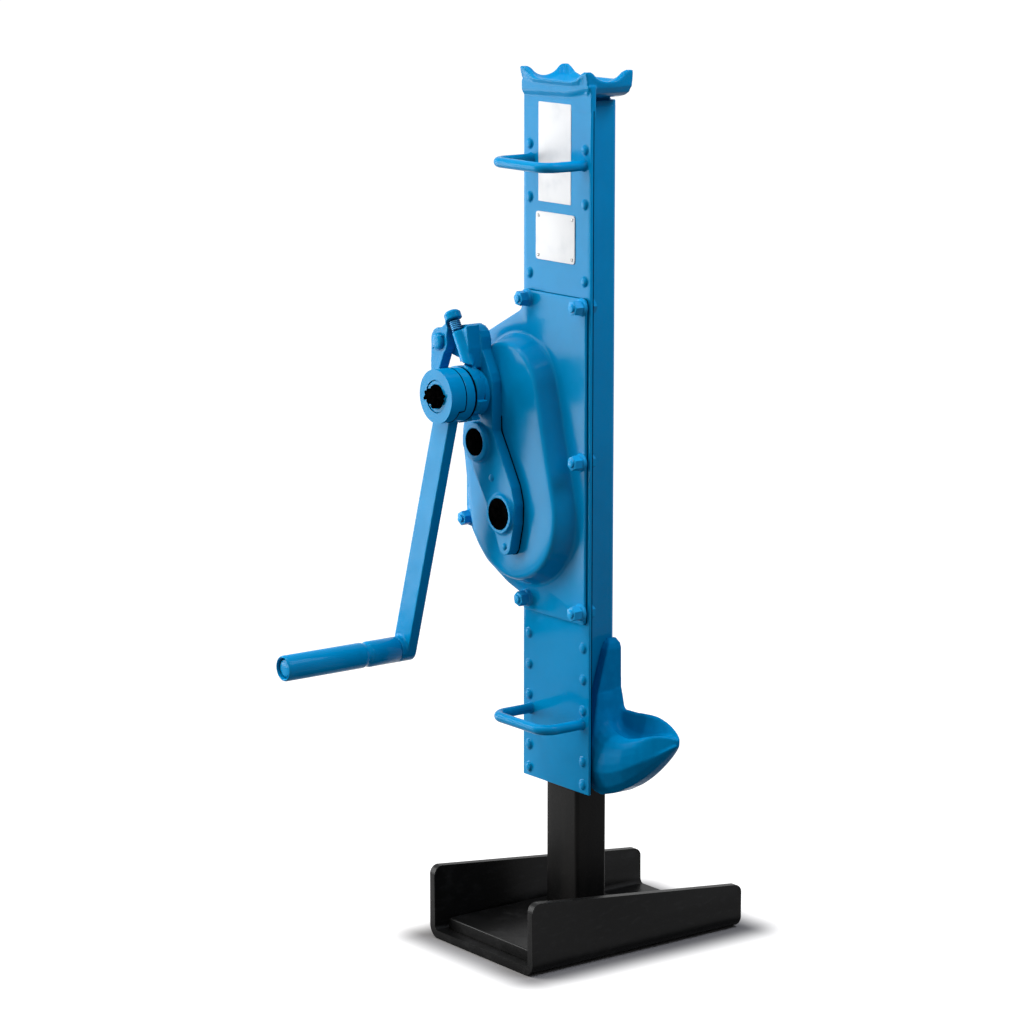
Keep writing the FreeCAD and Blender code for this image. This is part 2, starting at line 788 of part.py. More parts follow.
def head_saddle():
    """The forged load head: four horns round a dished top, over a neck in the housing."""
    low = float(housing_top)
    high = low + n.head_height
    half_x = n.head_width / 2
    front = -n.head_depth / 2
    back = n.head_back
    neck = float(side_in) - 3
    under = low + n.head_slot

    def dip(start, end):
        """The sagging top edge between two horns, from one flat tip to the other."""
        span = abs(end - start)
        way = math.copysign(1, end - start)
        steps = ((0, 0), (n.horn_flat, 0), (n.horn_flat + 7, 0.62), (n.horn_flat + 17, 0.93))
        rise = [(start + way * reach, high - n.head_dip * drop) for reach, drop in steps]
        fall = [(end - way * reach, high - n.head_dip * drop) for reach, drop in reversed(steps)]
        middle = [(start + way * span / 2, high - n.head_dip)]
        return rise + (middle if span > 70 else []) + fall

    bowl = [(-neck, low), (neck, low), (neck, under), (half_x - 19, under),
            (half_x - 8, under + 4), (half_x - 2.5, under + 12)]
    bowl += dip(half_x, -half_x) + [(2.5 - half_x, under + 12), (8 - half_x, under + 4),
                                    (19 - half_x, under), (-neck, under)]
    bowl = slab(bowl, flange_back, back)
    foot = half_x
    lip = slab([(-foot, low), (foot, low)] + dip(half_x, -half_x), front, flange_back)
    face = float(plate_face)
    end_view = [(face, low), (float(web_in) - 3, low), (float(web_in) - 3, under), (back - 6, under + 3),
                (back - 2, under + 12)]
    end_view += dip(back, front) + [(front + 0.6, low + 17), (face, low + 9)]
    across = Part.makePolygon([at(-half_x - 1, y, z) for y, z in end_view + end_view[:1]])
    across = Part.Face(across).extrude(Vector(2 * half_x + 2, 0, 0))
    gap = n.slide_gap
    spigot = box(gap - side_in, side_in - gap, plate_back + gap, web_in - gap - 2,
                 low - n.head_spigot, low + 1)
    head = bowl.fuse(lip).common(across).fuse(spigot).removeSplitter()
    keep(plain("head", head), "head_saddle")


def toe_section(x, front, back, low, valley, rim):
    """A loop across X: a round belly, and a hollow top that rises to a rim at the back."""
    k = (back - front) / 47.7
    return [at(x, y, z) for y, z in (
        (front + 12 * k, low + 1), (back - 12 * k, low + 1), (back - 3 * k, low + 9 * k),
        (back, low + 24 * k), (back, rim - 4 * k), (back - 2 * k, rim), (back - 5 * k, rim - k),
        (back - 13 * k, valley + 2 * k), (front + 14 * k, valley), (front + 5 * k, valley - 3 * k),
        (front, valley - 12 * k), (front + k, low + 18 * k))]


def skinned(loops):
    """A solid through flat loops that have as many points each, skinned with triangles."""
    faces = [Part.Face(Part.makePolygon(loop + loop[:1])) for loop in (loops[0], loops[-1])]
    for before, after in zip(loops, loops[1:]):
        for i in range(len(before)):
            j = (i + 1) % len(before)
            for corners in ((before[i], before[j], after[j]), (before[i], after[j], after[i])):
                faces.append(Part.Face(Part.makePolygon(list(corners) + [corners[0]])))
    shell = Part.Shell(faces)
    shell.sewShape()
    solid = Part.Solid(shell)
    if solid.Volume < 0:
        solid.reverse()
    return solid


def lifting_claw():
    """A spine welded to the +X wall, and a full toe with a hollow top."""
    wall = float(side_out)
    front = float(flange_back) + 1.8
    back = float(web_out) + 1
    sole = n.claw_sole
    valley = n.claw_valley
    rim = n.claw_rim
    face = wall + n.claw_spine
    span = n.claw_reach - face
    loops = [
        (wall, front, back, sole + 12, valley + 38, rim + 15),
        (wall + 0.5 * n.claw_spine, front, back, sole + 4, valley + 36, rim + 13),
        (face, front, back, sole + 1, valley + 31, rim + 8),
        (face + 0.04 * span, front, back, sole, valley + 19, rim),
        (face + 0.1 * span, front, back, sole, valley + 9, rim - 3),
        (face + 0.2 * span, front, back, sole + 2, valley + 3, rim - 2),
        (face + 0.34 * span, front, back, sole + 7, valley + 1, rim - 0.5),
        (face + 0.52 * span, front + 2.5, back - 1, sole + 17, valley, rim),
        (face + 0.71 * span, front + 7, back - 4, sole + 31, valley + 2, rim - 1.5),
        (face + 0.85 * span, front + 13, back - 8, sole + 43, valley + 5, rim - 5),
        (face + 0.95 * span, front + 19, back - 12, sole + 54, valley + 8, rim - 8.5),
        (n.claw_reach, front + 25, back - 16, sole + 62, valley + 10, rim - 12)]
    toe = skinned([toe_section(*values) for values in loops])
    top = n.claw_top
    plate = slab([(wall, sole + 14), (face, sole + 14), (face, top - 11), (face - 4, top - 4),
                  (wall, top + 3)], front, back)
    slant = Part.Face(Part.makePolygon([at(wall - 1, y, z) for y, z in (
        (front + 9, sole), (back - 9, sole), (back, sole + 12), (back, top - 2), (back - 3, top + 3),
        (back - 14, top - 2), (back - 18, top - 8), (back - 36, top - 68), (front, top - 107),
        (front, sole + 16), (front + 9, sole))]))
    spine = plate.common(slant.extrude(Vector(n.claw_spine + 2, 0, 0)))
    keep(plain("claw", toe.fuse(spine).removeSplitter()), "lifting_claw")


def cover_outline():
    """The flange of the gear cover: upright sides, sloped in above and below on the case side."""
    left = n.cover_left
    side = n.cover_case_side
    right = float(cover_right)
    low = n.cover_low
    high = n.cover_high
    return [(2 - left, low), (right, low), (right, high), (-left, high), (-left, high - 20),
            (28 - side, high - 52), (5 - side, high - 63), (-side, high - 70), (-side, low + 84),
            (8 - side, low + 68), (20 - side, low + 52), (34 - side, low + 39), (68 - side, low + 22),
            (2 - left, low + 14)]


gear_reach = n.stage_one_module * (n.middle_gear_teeth / 2 + ADDENDUM)
dome_circles = [(MAIN[0] - 1, MAIN[1] + 3.5, n.dome_low_radius),
                (CRANK[0] + 27, CRANK[1] - 1, n.dome_high_radius),
                (MIDDLE[0], MIDDLE[1], gear_reach + 2.5)]


def dome(profile):
    """A solid through parallel outlines of the dome. The profile is (grow, y)."""
    return Part.makeLoft([hull(dome_circles, grow, float(y)) for grow, y in profile], True, True)


def gear_cover():
    """The pressed cover of the gear train, bolted on through its flange."""
    foot = n.dome_foot
    shoulder = foot - n.dome_slope + 1
    outside = dome([(foot, cover_face), (shoulder, dome_inner), (shoulder - n.dome_round, dome_face)])
    inside = dome([(foot - n.cover_sheet, plate_face), (foot - n.cover_sheet - n.dome_slope, dome_inner)])
    shell = slab(cover_outline(), cover_face, plate_face).fuse(outside).cut(inside)
    for (x, z), radius in ((CRANK, n.front_journal), (MIDDLE, n.front_journal), (MAIN, n.main_journal)):
        shell = shell.cut(bore(x, z, radius + n.bush_wall + n.bolt_gap, dome_face - 1, dome_inner + 2))
    for x, z in bolt_places() + case_bolt_places():
        shell = shell.cut(bore(x, z, n.bolt_radius + n.bolt_gap, cover_face - 1, plate_face + 1))
    keep(plain("cover", shell.removeSplitter()), "gear_cover")


chamber_left = main_x - pinion_tip - 1
chamber_back = s.rack_depth / 2


def gear_case_rear():
    """The rear of the gear case: a plate beside the front plate and the pinion's chamber."""
    edge = -s.plate_width / 2
    case = slab(cover_outline(), plate_face, plate_face + s.case_plate)
    case = case.cut(box(edge, 200, plate_face - 1, plate_back + 20, 0, 1000))
    wall = s.case_wall
    case = case.fuse(box(chamber_left - wall, -side_out, plate_face, chamber_back + wall,
                         main_z - window_half - wall, main_z + window_half + wall))
    case = case.fuse(round_slab(MAIN, n.main_rear_journal + 7.5, chamber_back + s.main_rear_bearing + wall,
                                chamber_back))
    for centre in (CRANK, MIDDLE):
        case = case.fuse(round_slab(centre, n.rear_journal + 7.5, rear_floor + wall, plate_face))
    case = case.cut(box(chamber_left, 0, plate_face - 1, chamber_back,
                        main_z - window_half, main_z + window_half))
    for centre in (CRANK, MIDDLE):
        case = case.cut(bore(*centre, n.rear_journal + n.bearing_gap, plate_face - 1, rear_floor))
    case = case.cut(bore(*MAIN, n.main_rear_journal + n.bearing_gap, 0,
                         chamber_back + s.main_rear_bearing))
    for x, z in case_bolt_places():
        case = case.cut(bore(x, z, n.bolt_radius + n.bolt_gap, plate_face - 1, plate_back + 5))
    case = case.cut(box(-side_out, 0, plate_face - 1, 100, 0, 1000))
    keep(plain("case", case.removeSplitter()), "gear_case_rear")


# Pawl and its spring stand in front of the bracket, up and to the left of the crank
pawl_back = bracket_face - s.boss_rise * 2 - s.bush_wall + 0.8
pawl_front = pawl_back - s.pawl_thick
pawl_mid = (pawl_back + pawl_front) / 2
PIVOT = (CRANK[0] - n.pawl_across, CRANK[1] + n.pawl_above)
SPRING_SEAT = (CRANK[0] - 11.9, CRANK[1] + 58.8)
SPRING_LEAN = 120


def slanted(start, degrees, radius, length, y):
    """A cylinder in the plane at depth y, from start along an angle."""
    tip = polar((0, 0), 1, degrees)
    return Part.makeCylinder(float(radius), float(length), at(start[0], y, start[1]),
                             at(tip[0], 0, tip[1]))


def bearing_bracket():
    """The forged bracket that carries the three shafts, the pawl's pin and the spring's bar."""
    (cx, cz), (ix, iz), (mx, mz) = CRANK, MIDDLE, MAIN
    rim = [(cx - 18, cz + 62), (cx - 3, cz + 64), (cx + 3, cz + 60), (cx + 6, cz + 54),
           (cx + 7, cz + 42), (cx + 20, cz + 20), (cx + 23, cz + 12), (cx + 23.5, cz - 37),
           (mx - 3, mz + 60), (mx + 16, mz + 28), (mx + 21, mz + 11), (mx + 20, mz - 9),
           (mx + 13.5, mz - 35), (mx + 9, mz - 40), (mx + 3, mz - 41), (mx - 3, mz - 38),
           (mx - 15, mz - 12), (mx - 24, mz + 5), (ix - 6, iz - 30), (ix - 15, iz - 14),
           (ix - 21, iz + 5), (cx - 22, cz), (cx - 23, cz + 48)]
    body = slab(rim, bracket_face, dome_face)
    lug_face = pawl_back + n.slide_gap
    lug = Part.Face(hull([(*PIVOT, 12), (cx - 8, cz + 42, 12), (cx - 8, cz + 54, 12)], 0,
                         float(dome_face) - 2))
    body = body.fuse(lug.extrude(Vector(0, float(lug_face) - float(dome_face) + 2, 0)))
    bar = slanted(SPRING_SEAT, SPRING_LEAN - 180, n.spring_bar, 40, pawl_mid)
    web = slab([polar(SPRING_SEAT, n.spring_bar, SPRING_LEAN + 90),
                polar(SPRING_SEAT, 16, SPRING_LEAN - 90),
                (cx + 6, cz + 44), (cx + 6, cz + 22), (cx - 6, cz + 20)], pawl_mid, bracket_face)
    clearance = bore(cx, cz, n.ratchet_radius + 1, ratchet_front - 6, ratchet_back + 1)
    block = bar.fuse(web).cut(clearance).cut(
        bore(cx, cz, n.lining_radius + 2, ratchet_front - 6, bracket_face))
    body = body.fuse(block)
    body = body.fuse(round_slab(CRANK, n.crank_boss_radius, crank_boss_face, dome_face))
    for centre in (MIDDLE, MAIN):
        body = body.fuse(round_slab(centre, n.boss_radius, boss_face, dome_face))
    peg = slanted(SPRING_SEAT, SPRING_LEAN, n.spring_coil - n.spring_wire - 0.4, 6, pawl_mid)
    body = body.fuse(peg)
    for centre, journal in ((CRANK, n.front_journal), (MIDDLE, n.front_journal), (MAIN, n.main_journal)):
        body = body.cut(bore(*centre, journal + n.bush_wall, -200, 0))
    for centre, journal in ((MIDDLE, n.front_journal), (MAIN, n.main_journal)):
        body = body.cut(bore(*centre, journal + n.bush_wall + 1, boss_face - 1, boss_face + 2))
    body = body.cut(bore(*PIVOT, n.pawl_pin, -200, 0))
    keep(plain("bracket", body.removeSplitter()), "bearing_bracket")


def bushes():
    """Plain bearings in the bracket, two of them closed by caps."""
    gap = s.bearing_gap
    rings = []
    for centre, journal, front, back in (
            (CRANK, s.front_journal, crank_boss_face, dome_inner),
            (MIDDLE, s.front_journal, boss_face + 2, dome_inner),
            (MAIN, s.main_journal, boss_face + 2, dome_inner)):
        rings.append(ring(f"bush_{len(rings)}", *centre, journal + gap, journal + s.bush_wall,
                          front, back))
    keep(group("bushes", rings), "shaft_bushes")
    caps = [disc(f"cap_{i}", *centre, journal + s.bush_wall + 1, boss_face - 0.4, boss_face + 2)
            for i, (centre, journal) in enumerate(((MIDDLE, s.front_journal), (MAIN, s.main_journal)))]
    keep(group("caps", caps), "shaft_end_caps")


# Gear teeth

def involute(angle):
    return math.tan(angle) - angle


def gear_outline(centre, teeth, module, shift, lash, first_tooth):
    """Points round a gear: straight roots, and flanks of two chords on the involute."""
    pitch = module * teeth / 2
    base = pitch * math.cos(PRESSURE)
    tip = pitch + module * (ADDENDUM + shift)
    root = pitch - module * (DEDENDUM - shift)
    half = math.pi / 2 / teeth + 2 * shift * math.tan(PRESSURE) / teeth - lash / 4 / pitch
    start = max(base, root)
    radii = [start + (tip - start) * step for step in (0, 0.45, 1)]
    flank = [(r, half + involute(PRESSURE) - involute(math.acos(min(base / r, 1)))) for r in radii]
    if root < base:
        flank.insert(0, (root, flank[0][1]))
    points = []
    for i in range(int(teeth)):
        middle = first_tooth + 360 * i / teeth
        points += [polar(centre, r, middle - math.degrees(turn)) for r, turn in flank]
        points += [polar(centre, r, middle + math.degrees(turn)) for r, turn in reversed(flank)]
    return points


def heading(start, end):
    return math.degrees(math.atan2(end[1] - start[1], end[0] - start[0]))


def gear(centre, teeth, module, lash, first_tooth, front, back, shift=0):
    return slab(gear_outline(centre, teeth, module, shift, lash, first_tooth), front, back)


rack_pinion_half = s.rack_pinion_width / 2
crank_pinion_front = dome_inner + 3
crank_pinion_back = middle_gear_back + 0.5
middle_pinion_back = plate_face - 0.6


crank_seat = s.crank_thread + 2.5


def gear_train():
    """Three shafts with their pinions cut on, and the two wheels that drive them."""
    lash = n.gear_lash
    pinion = gear(CRANK, n.crank_pinion_teeth, n.stage_one_module, lash, heading(CRANK, MIDDLE),
                  crank_pinion_front, crank_pinion_back)
    spindle = turned("crank_spindle", *CRANK, [
        (0, brake_nut_front - 6), (s.crank_thread, brake_nut_front - 6), (s.crank_thread, hub_front),
        (crank_seat, hub_front), (crank_seat, flange_front),
        (s.lining_radius, flange_front), (s.lining_radius, flange_rear),
        (s.front_journal, flange_rear), (s.front_journal, crank_pinion_back),
        (s.rear_journal, crank_pinion_back), (s.rear_journal, rear_floor - 0.5),
        (0, rear_floor - 0.5)])
    keep(fused("crank_shaft", [spindle, plain("crank_pinion", pinion)]), "crank_shaft")

    wheel_seat = s.front_journal + 2
    spindle = turned("middle_spindle", *MIDDLE, [
        (0, boss_face + 2.5), (s.front_journal, boss_face + 2.5), (s.front_journal, dome_inner + 0.5),
        (wheel_seat + 1, dome_inner + 0.5), (wheel_seat + 1, middle_gear_front),
        (wheel_seat, middle_gear_front), (wheel_seat, middle_gear_back),
        (s.front_journal, middle_gear_back), (s.front_journal, middle_pinion_back),
        (s.rear_journal, middle_pinion_back), (s.rear_journal, rear_floor - 0.5),
        (0, rear_floor - 0.5)])
    pinion = gear(MIDDLE, n.middle_pinion_teeth, n.stage_two_module, lash, heading(MIDDLE, MAIN),
                  middle_gear_back, middle_pinion_back)
    keep(fused("middle_shaft", [spindle, plain("middle_pinion", pinion)]), "middle_shaft")
    wheel = gear(MIDDLE, n.middle_gear_teeth, n.stage_one_module, lash,
                 heading(MIDDLE, CRANK) + 180 / n.middle_gear_teeth, middle_gear_front, middle_gear_back)
    wheel = wheel.cut(bore(*MIDDLE, wheel_seat, -200, 0))
    keep(plain("wheel_one", wheel), "middle_gear")

    wheel_seat = s.main_journal + 2
    spindle = turned("main_spindle", *MAIN, [
        (0, boss_face + 2.5), (s.main_journal, boss_face + 2.5), (s.main_journal, dome_inner + 0.5),
        (wheel_seat + 2, dome_inner + 0.5), (wheel_seat + 2, main_gear_front),
        (wheel_seat, main_gear_front), (wheel_seat, main_gear_back),
        (wheel_seat - 1, main_gear_back), (wheel_seat - 1, rack_pinion_half),
        (s.main_rear_journal, rack_pinion_half),
        (s.main_rear_journal, chamber_back + s.main_rear_bearing - 0.5),
        (0, chamber_back + s.main_rear_bearing - 0.5)])
    pinion = gear(MAIN, n.rack_pinion_teeth, n.rack_module, n.rack_teeth_lash, 0,
                  -rack_pinion_half, rack_pinion_half, RACK_PINION_SHIFT)
    keep(fused("rack_pinion", [spindle, plain("pinion_teeth", pinion)]), "rack_pinion_shaft")
    wheel = gear(MAIN, n.main_gear_teeth, n.stage_two_module, lash,
                 heading(MAIN, MIDDLE) + 180 / n.main_gear_teeth, main_gear_front, main_gear_back)
    wheel = wheel.cut(bore(*MAIN, wheel_seat, -200, 0))
    keep(plain("wheel_two", wheel), "main_gear")


# Crank with its load brake, the ratchet wheel and the grip

ARM_HEADING = -90 - n.crank_lean
DOG_START = ARM_HEADING - 73
DOG_END = ARM_HEADING + 74
DOG_SLACK = 3


def wedge(centre, radius, start, end, front, back):
    """A sector of a disc, as a many-sided slab."""
    steps = 6
    rim = [polar(centre, radius, start + (end - start) * i / steps) for i in range(steps + 1)]
    return slab([centre] + rim, front, back)


def crank_arm():
    """The hub, whose front half ring drives the brake nut, with the flat bar and its end."""
    radius = n.hub_radius
    hub = bore(*CRANK, radius, dog_back, hub_back)
    claw = bore(*CRANK, radius, hub_front, dog_back)
    hub = hub.fuse(claw.common(wedge(CRANK, radius * 3, DOG_START, DOG_END, hub_front, dog_back)))
    half = n.crank_bar_width / 2
    near = polar(CRANK, radius * 0.75, ARM_HEADING)
    corners = [polar(near, half, ARM_HEADING - 90), polar(near, half, ARM_HEADING + 90),
               polar(grip_centre, half, ARM_HEADING + 90), polar(grip_centre, half, ARM_HEADING - 90)]
    bar = slab(corners, hub_front, hub_front + n.crank_bar_thick)
    end = round_slab(grip_centre, half, hub_front - 6, hub_front + n.crank_bar_thick)
    arm = hub.fuse(bar).fuse(end)
    arm = arm.cut(bore(*CRANK, crank_seat, -200, 0))
    arm = arm.cut(bore(*grip_centre, n.grip_radius - n.grip_wall - 1, -200, 0))
    keep(plain("arm", arm.removeSplitter()), "crank_arm")


def brake_nut():
    """The nut that clamps the load brake, with a dog that meets the hub's half ring."""
    radius = n.hub_radius
    nut = bore(*CRANK, radius, brake_nut_front, brake_nut_back)
    dog = bore(*CRANK, radius, brake_nut_back, dog_back - n.face_gap)
    nut = nut.fuse(dog.common(wedge(CRANK, radius * 3, DOG_END + DOG_SLACK, DOG_START + 360 - DOG_SLACK,
                                    brake_nut_back, dog_back)))
    nut = nut.cut(bore(*CRANK, n.crank_thread, -200, 0))
    nut = nut.cut(bore(*CRANK, crank_seat + n.bearing_gap, brake_nut_back, 0))
    nut = nut.cut(bore(*CRANK, n.nut_recess, brake_nut_front - 1, brake_nut_front + 6))
    keep(plain("clamp_nut", nut.removeSplitter()), "brake_nut")


def hexagon(centre, flats, front, back):
    corner = flats / math.sqrt(3)
    return slab([polar(centre, corner, 60 * i + 30) for i in range(6)], front, back)


def castle_nut():
    front = float(brake_nut_front) + 6 - n.castle_nut_height
    back = float(brake_nut_front) + 6
    nut = hexagon(CRANK, n.castle_nut_flats, front, back)
    for i in range(3):
        slot = box(-20, 20, front - 1, front + 3.5, -1.6, 1.6)
        slot.Placement = Placement(at(CRANK[0], 0, CRANK[1]), Rotation(Vector(0, 1, 0), 60 * i))
        nut = nut.cut(slot)
    nut = nut.cut(bore(*CRANK, n.crank_thread, -200, 0))
    keep(plain("crown_nut", nut), "castle_nut")


def ratchet_outline():
    """Teeth with a radial face and a steady ramp. The ramp rises anticlockwise."""
    tooth = 360 / n.ratchet_teeth
    steps = 4
    points = []
    for i in range(int(n.ratchet_teeth)):
        for step in range(steps + 1):
            radius = n.ratchet_radius - n.ratchet_depth * (1 - step / steps)
            points.append(polar(CRANK, radius, CATCH + tooth * (i + step / steps)))
    return points


CATCH = 172


def ratchet_wheel():
    wheel = slab(ratchet_outline(), ratchet_front, ratchet_back)
    wheel = wheel.cut(bore(*CRANK, crank_seat + n.bearing_gap, -200, 0))
    keep(plain("ratchet", wheel), "ratchet_wheel")
    linings = [ring("front_lining", *CRANK, crank_seat, s.lining_radius, hub_back, lining_back),
               ring("rear_lining", *CRANK, crank_seat, s.lining_radius, rear_lining_front, flange_front)]
    keep(group("linings", linings), "brake_linings")


def pawl():
    """A two-armed lever: a hooked nose under the ratchet and a cup over the spring."""
    root = n.ratchet_radius - n.ratchet_depth
    clear = n.slide_gap + 0.2
    nose = [polar(CRANK, root + clear + 1.6, CATCH + 10), polar(CRANK, root + clear, CATCH + 0.9),
            polar(CRANK, n.ratchet_radius + 5.5, CATCH + 0.9)]
    px, pz = PIVOT
    arm = slab([(px - 12.6, pz + 3), (px - 13.8, pz - 20), (px - 13.4, pz - 50), (px - 6, pz - 57)]
               + nose + [(px + 0.5, pz - 28), (px + 9, pz - 9)], pawl_front, pawl_back)
    cup_start = polar(SPRING_SEAT, n.spring_length, SPRING_LEAN)
    cup = slanted(cup_start, SPRING_LEAN, n.spring_bar + 2.5, 9, pawl_mid)
    rims = [edge for edge in cup.Edges if edge.isClosed()]
    cup = cup.makeChamfer(2.5, [max(rims, key=lambda edge: edge.CenterOfMass.z)])
    neck = slab([polar(PIVOT, n.pawl_lobe - 0.6, 165), polar(cup_start, 9, SPRING_LEAN + 90),
                 polar(polar(cup_start, 8, SPRING_LEAN), 5, SPRING_LEAN + 90),
                 polar(cup_start, 6, SPRING_LEAN), polar(cup_start, 1, SPRING_LEAN),
                 polar(PIVOT, n.pawl_lobe - 0.6, 20)], pawl_front, pawl_back)
    lever = bore(px, pz, n.pawl_lobe, pawl_front, pawl_back).fuse(arm).fuse(cup).fuse(neck)
    lever = lever.cut(slanted(SPRING_SEAT, SPRING_LEAN, n.spring_bar + 2.5, n.spring_length, pawl_mid))
    lever = lever.cut(bore(px, pz, n.pawl_pin + n.bearing_gap, -200, 0))
    keep(plain("lever", lever.removeSplitter()), "pawl")
    keep(turned("pivot_pin", px, pz, [
        (0, pawl_front - 4), (s.pawl_pin + 1, pawl_front - 4), (s.pawl_pin + 2.5, pawl_front - 2.5),
        (s.pawl_pin + 2.5, pawl_front - 0.3), (s.pawl_pin, pawl_front - 0.3),
        (s.pawl_pin, dome_face - 2), (0, dome_face - 2)]), "pawl_pin")
    return_spring()


def return_spring():
    """A round coil between the seat on the bracket's bar and the pawl's cup."""
    wire = n.spring_wire
    height = n.spring_length - 2 * wire - 0.2
    per_turn = 9
    steps = int(n.spring_turns * per_turn)
    points = [Vector(n.spring_coil * math.cos(math.tau * i / per_turn),
                     n.spring_coil * math.sin(math.tau * i / per_turn), height * i / steps)
              for i in range(steps + 1)]
    across = Part.makePolygon([points[0] + Vector(wire * math.cos(math.tau * i / 6), 0,
                                                  wire * math.sin(math.tau * i / 6))
                               for i in range(7)])
    coil = Part.makePolygon(points).makePipeShell([across], True, True, 1)
    spring = keep(plain("coil", coil), "pawl_spring")
    tip = polar((0, 0), 1, SPRING_LEAN)
    foot = polar(SPRING_SEAT, wire + 0.1, SPRING_LEAN)
    spring.Placement = Placement(at(foot[0], pawl_mid, foot[1]),
                                 Rotation(Vector(0, 0, 1), at(tip[0], 0, tip[1])))


grip_front = hub_front - 6 - s.face_gap - s.grip_length


def crank_grip():
    """A free-turning tube on a pin that is riveted into the end of the crank."""
    inside = s.grip_radius - s.grip_wall
    back = hub_front - 6 - s.face_gap
    groove = hub_front - 42
    keep(turned("sleeve", *grip_centre, [
        (inside, back), (s.grip_radius, back), (s.grip_radius, groove + 1),
        (s.grip_radius - 0.8, groove), (s.grip_radius - 0.8, grip_front + 1),
        (s.grip_radius - 1.8, grip_front), (s.grip_radius - 2.5, grip_front),
        (s.grip_radius - 2.5, grip_front + 7), (inside, grip_front + 7)]), "crank_grip")
    shank = inside - s.bearing_gap
    keep(turned("grip_pin_body", *grip_centre, [
        (0, grip_front + 2.5), (inside + 0.8, grip_front + 2.5), (inside + 1.1, grip_front + 4),
        (inside + 1.1, grip_front + 6.7), (shank, grip_front + 6.7),
        (shank, back), (inside - 1, back), (inside - 1, hub_front + s.crank_bar_thick),
        (inside, hub_front + s.crank_bar_thick), (inside, hub_front + s.crank_bar_thick + 2),
        (0, hub_front + s.crank_bar_thick + 2)]), "grip_pin")


# Fasteners of the gear cover and of the bracket

def cover_fasteners():
    bolts = []
    nuts = []
    near = [(x, z, flange_back) for x, z in bolt_places()]
    far = [(x, z, plate_face + s.case_plate) for x, z in case_bolt_places()]
    for x, z, seat in near + far:
        i = len(nuts)
        nut_back = cover_face - s.nut_seat
        nut_front = nut_back - s.nut_height
        shank = faceted(f"shank_{i}", x, z, 12, s.bolt_radius, nut_front - 2, seat)
        head = faceted(f"head_{i}", x, z, 6, s.nut_flats / math.sqrt(3), seat, seat + 5)
        bolts.append(fused(f"bolt_{i}", [shank, head]))
        blank = faceted(f"blank_{i}", x, z, 6, s.nut_flats / math.sqrt(3), nut_front, nut_back)
        seat_ring = faceted(f"nut_seat_{i}", x, z, 12, s.nut_flats * 0.62, nut_back, cover_face)
        nuts.append(cut(f"nut_{i}", fused(f"seated_nut_{i}", [blank, seat_ring]), shank))
    keep(group("bolts", bolts), "cover_bolts")
    keep(group("nuts", nuts), "cover_nuts")
    heads = [faceted(f"small_rivet_{i}", main_x + across, main_z + up, 10, 3, bracket_face - 1.6,
                     bracket_face, 1.8)
             for i, (across, up) in enumerate(((-16, 33), (5, -32)))]
    keep(group("small_rivets", heads), "bracket_rivets")


def main():
    for make in (base_channel, foot_plate, toothed_rack, rack_weld, housing_body, front_plate,
                 rack_guides, plate_rivets, rating_plate, head_saddle, lifting_claw, gear_cover,
                 gear_case_rear, bearing_bracket, bushes, gear_train, crank_arm, brake_nut,
                 castle_nut, ratchet_wheel, pawl, crank_grip, cover_fasteners):
        make()
    carry_handle("upper_carry_handle", s.upper_handle_height)
    carry_handle("lower_carry_handle", s.lower_handle_height)
    finish()


def finish():
    """Recompute, refuse anything that failed, and write each sub-part to its file."""
    doc.recompute()
    failed = [item.Name for item in doc.Objects if {"Invalid", "Error"} & set(item.State)]
    if failed:
        raise ValueError(f"these did not compute: {failed}")
    os.makedirs("parts", exist_ok=True)
    for item in nodes:
        shape = item.Shape
        if shape.isNull() or not shape.isValid():
            raise ValueError(f"{item.Label} has no valid shape")
        shape.exportStep(f"parts/{item.Label}.step")
        print(f"{item.Label}: {len(shape.Solids)} solids, {shape.Volume / 1000:.1f} cm3")


main()
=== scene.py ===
import math

import bmesh
import bpy
from mathutils import Matrix, Vector


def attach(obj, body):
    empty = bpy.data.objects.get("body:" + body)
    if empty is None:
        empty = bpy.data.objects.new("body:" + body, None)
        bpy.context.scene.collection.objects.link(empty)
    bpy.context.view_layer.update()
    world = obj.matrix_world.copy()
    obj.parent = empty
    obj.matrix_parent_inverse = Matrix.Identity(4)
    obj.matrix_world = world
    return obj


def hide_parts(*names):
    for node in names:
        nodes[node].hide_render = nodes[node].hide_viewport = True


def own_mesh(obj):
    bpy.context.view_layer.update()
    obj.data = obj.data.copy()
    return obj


# Rack-type steel jack. Metres, +Z up, +X towards the claw, -Y towards the gear cover.
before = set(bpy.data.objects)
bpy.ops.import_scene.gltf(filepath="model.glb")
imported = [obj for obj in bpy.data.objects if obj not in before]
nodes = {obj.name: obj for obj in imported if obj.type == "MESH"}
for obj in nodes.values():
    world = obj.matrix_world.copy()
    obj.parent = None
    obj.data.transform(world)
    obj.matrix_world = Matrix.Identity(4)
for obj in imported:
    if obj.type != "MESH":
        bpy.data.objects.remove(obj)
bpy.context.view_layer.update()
MM = 0.001

# Places that the pieces share, in millimetres (x, z)
CRANK = (-79.124, 545.199)
MIDDLE = (-80.171, 495.210)
MAIN = (-41.0, 429.5)
GRIP = (-157.897, 277.551)
PIVOT = (-115.124, 592.499)
# Faces that the pieces share, in millimetres (y)
PLATE_FACE = -26.0
COVER_FACE = -29.0
DOME_INSIDE = -47.0
DOME_FACE = -50.3


# Materials

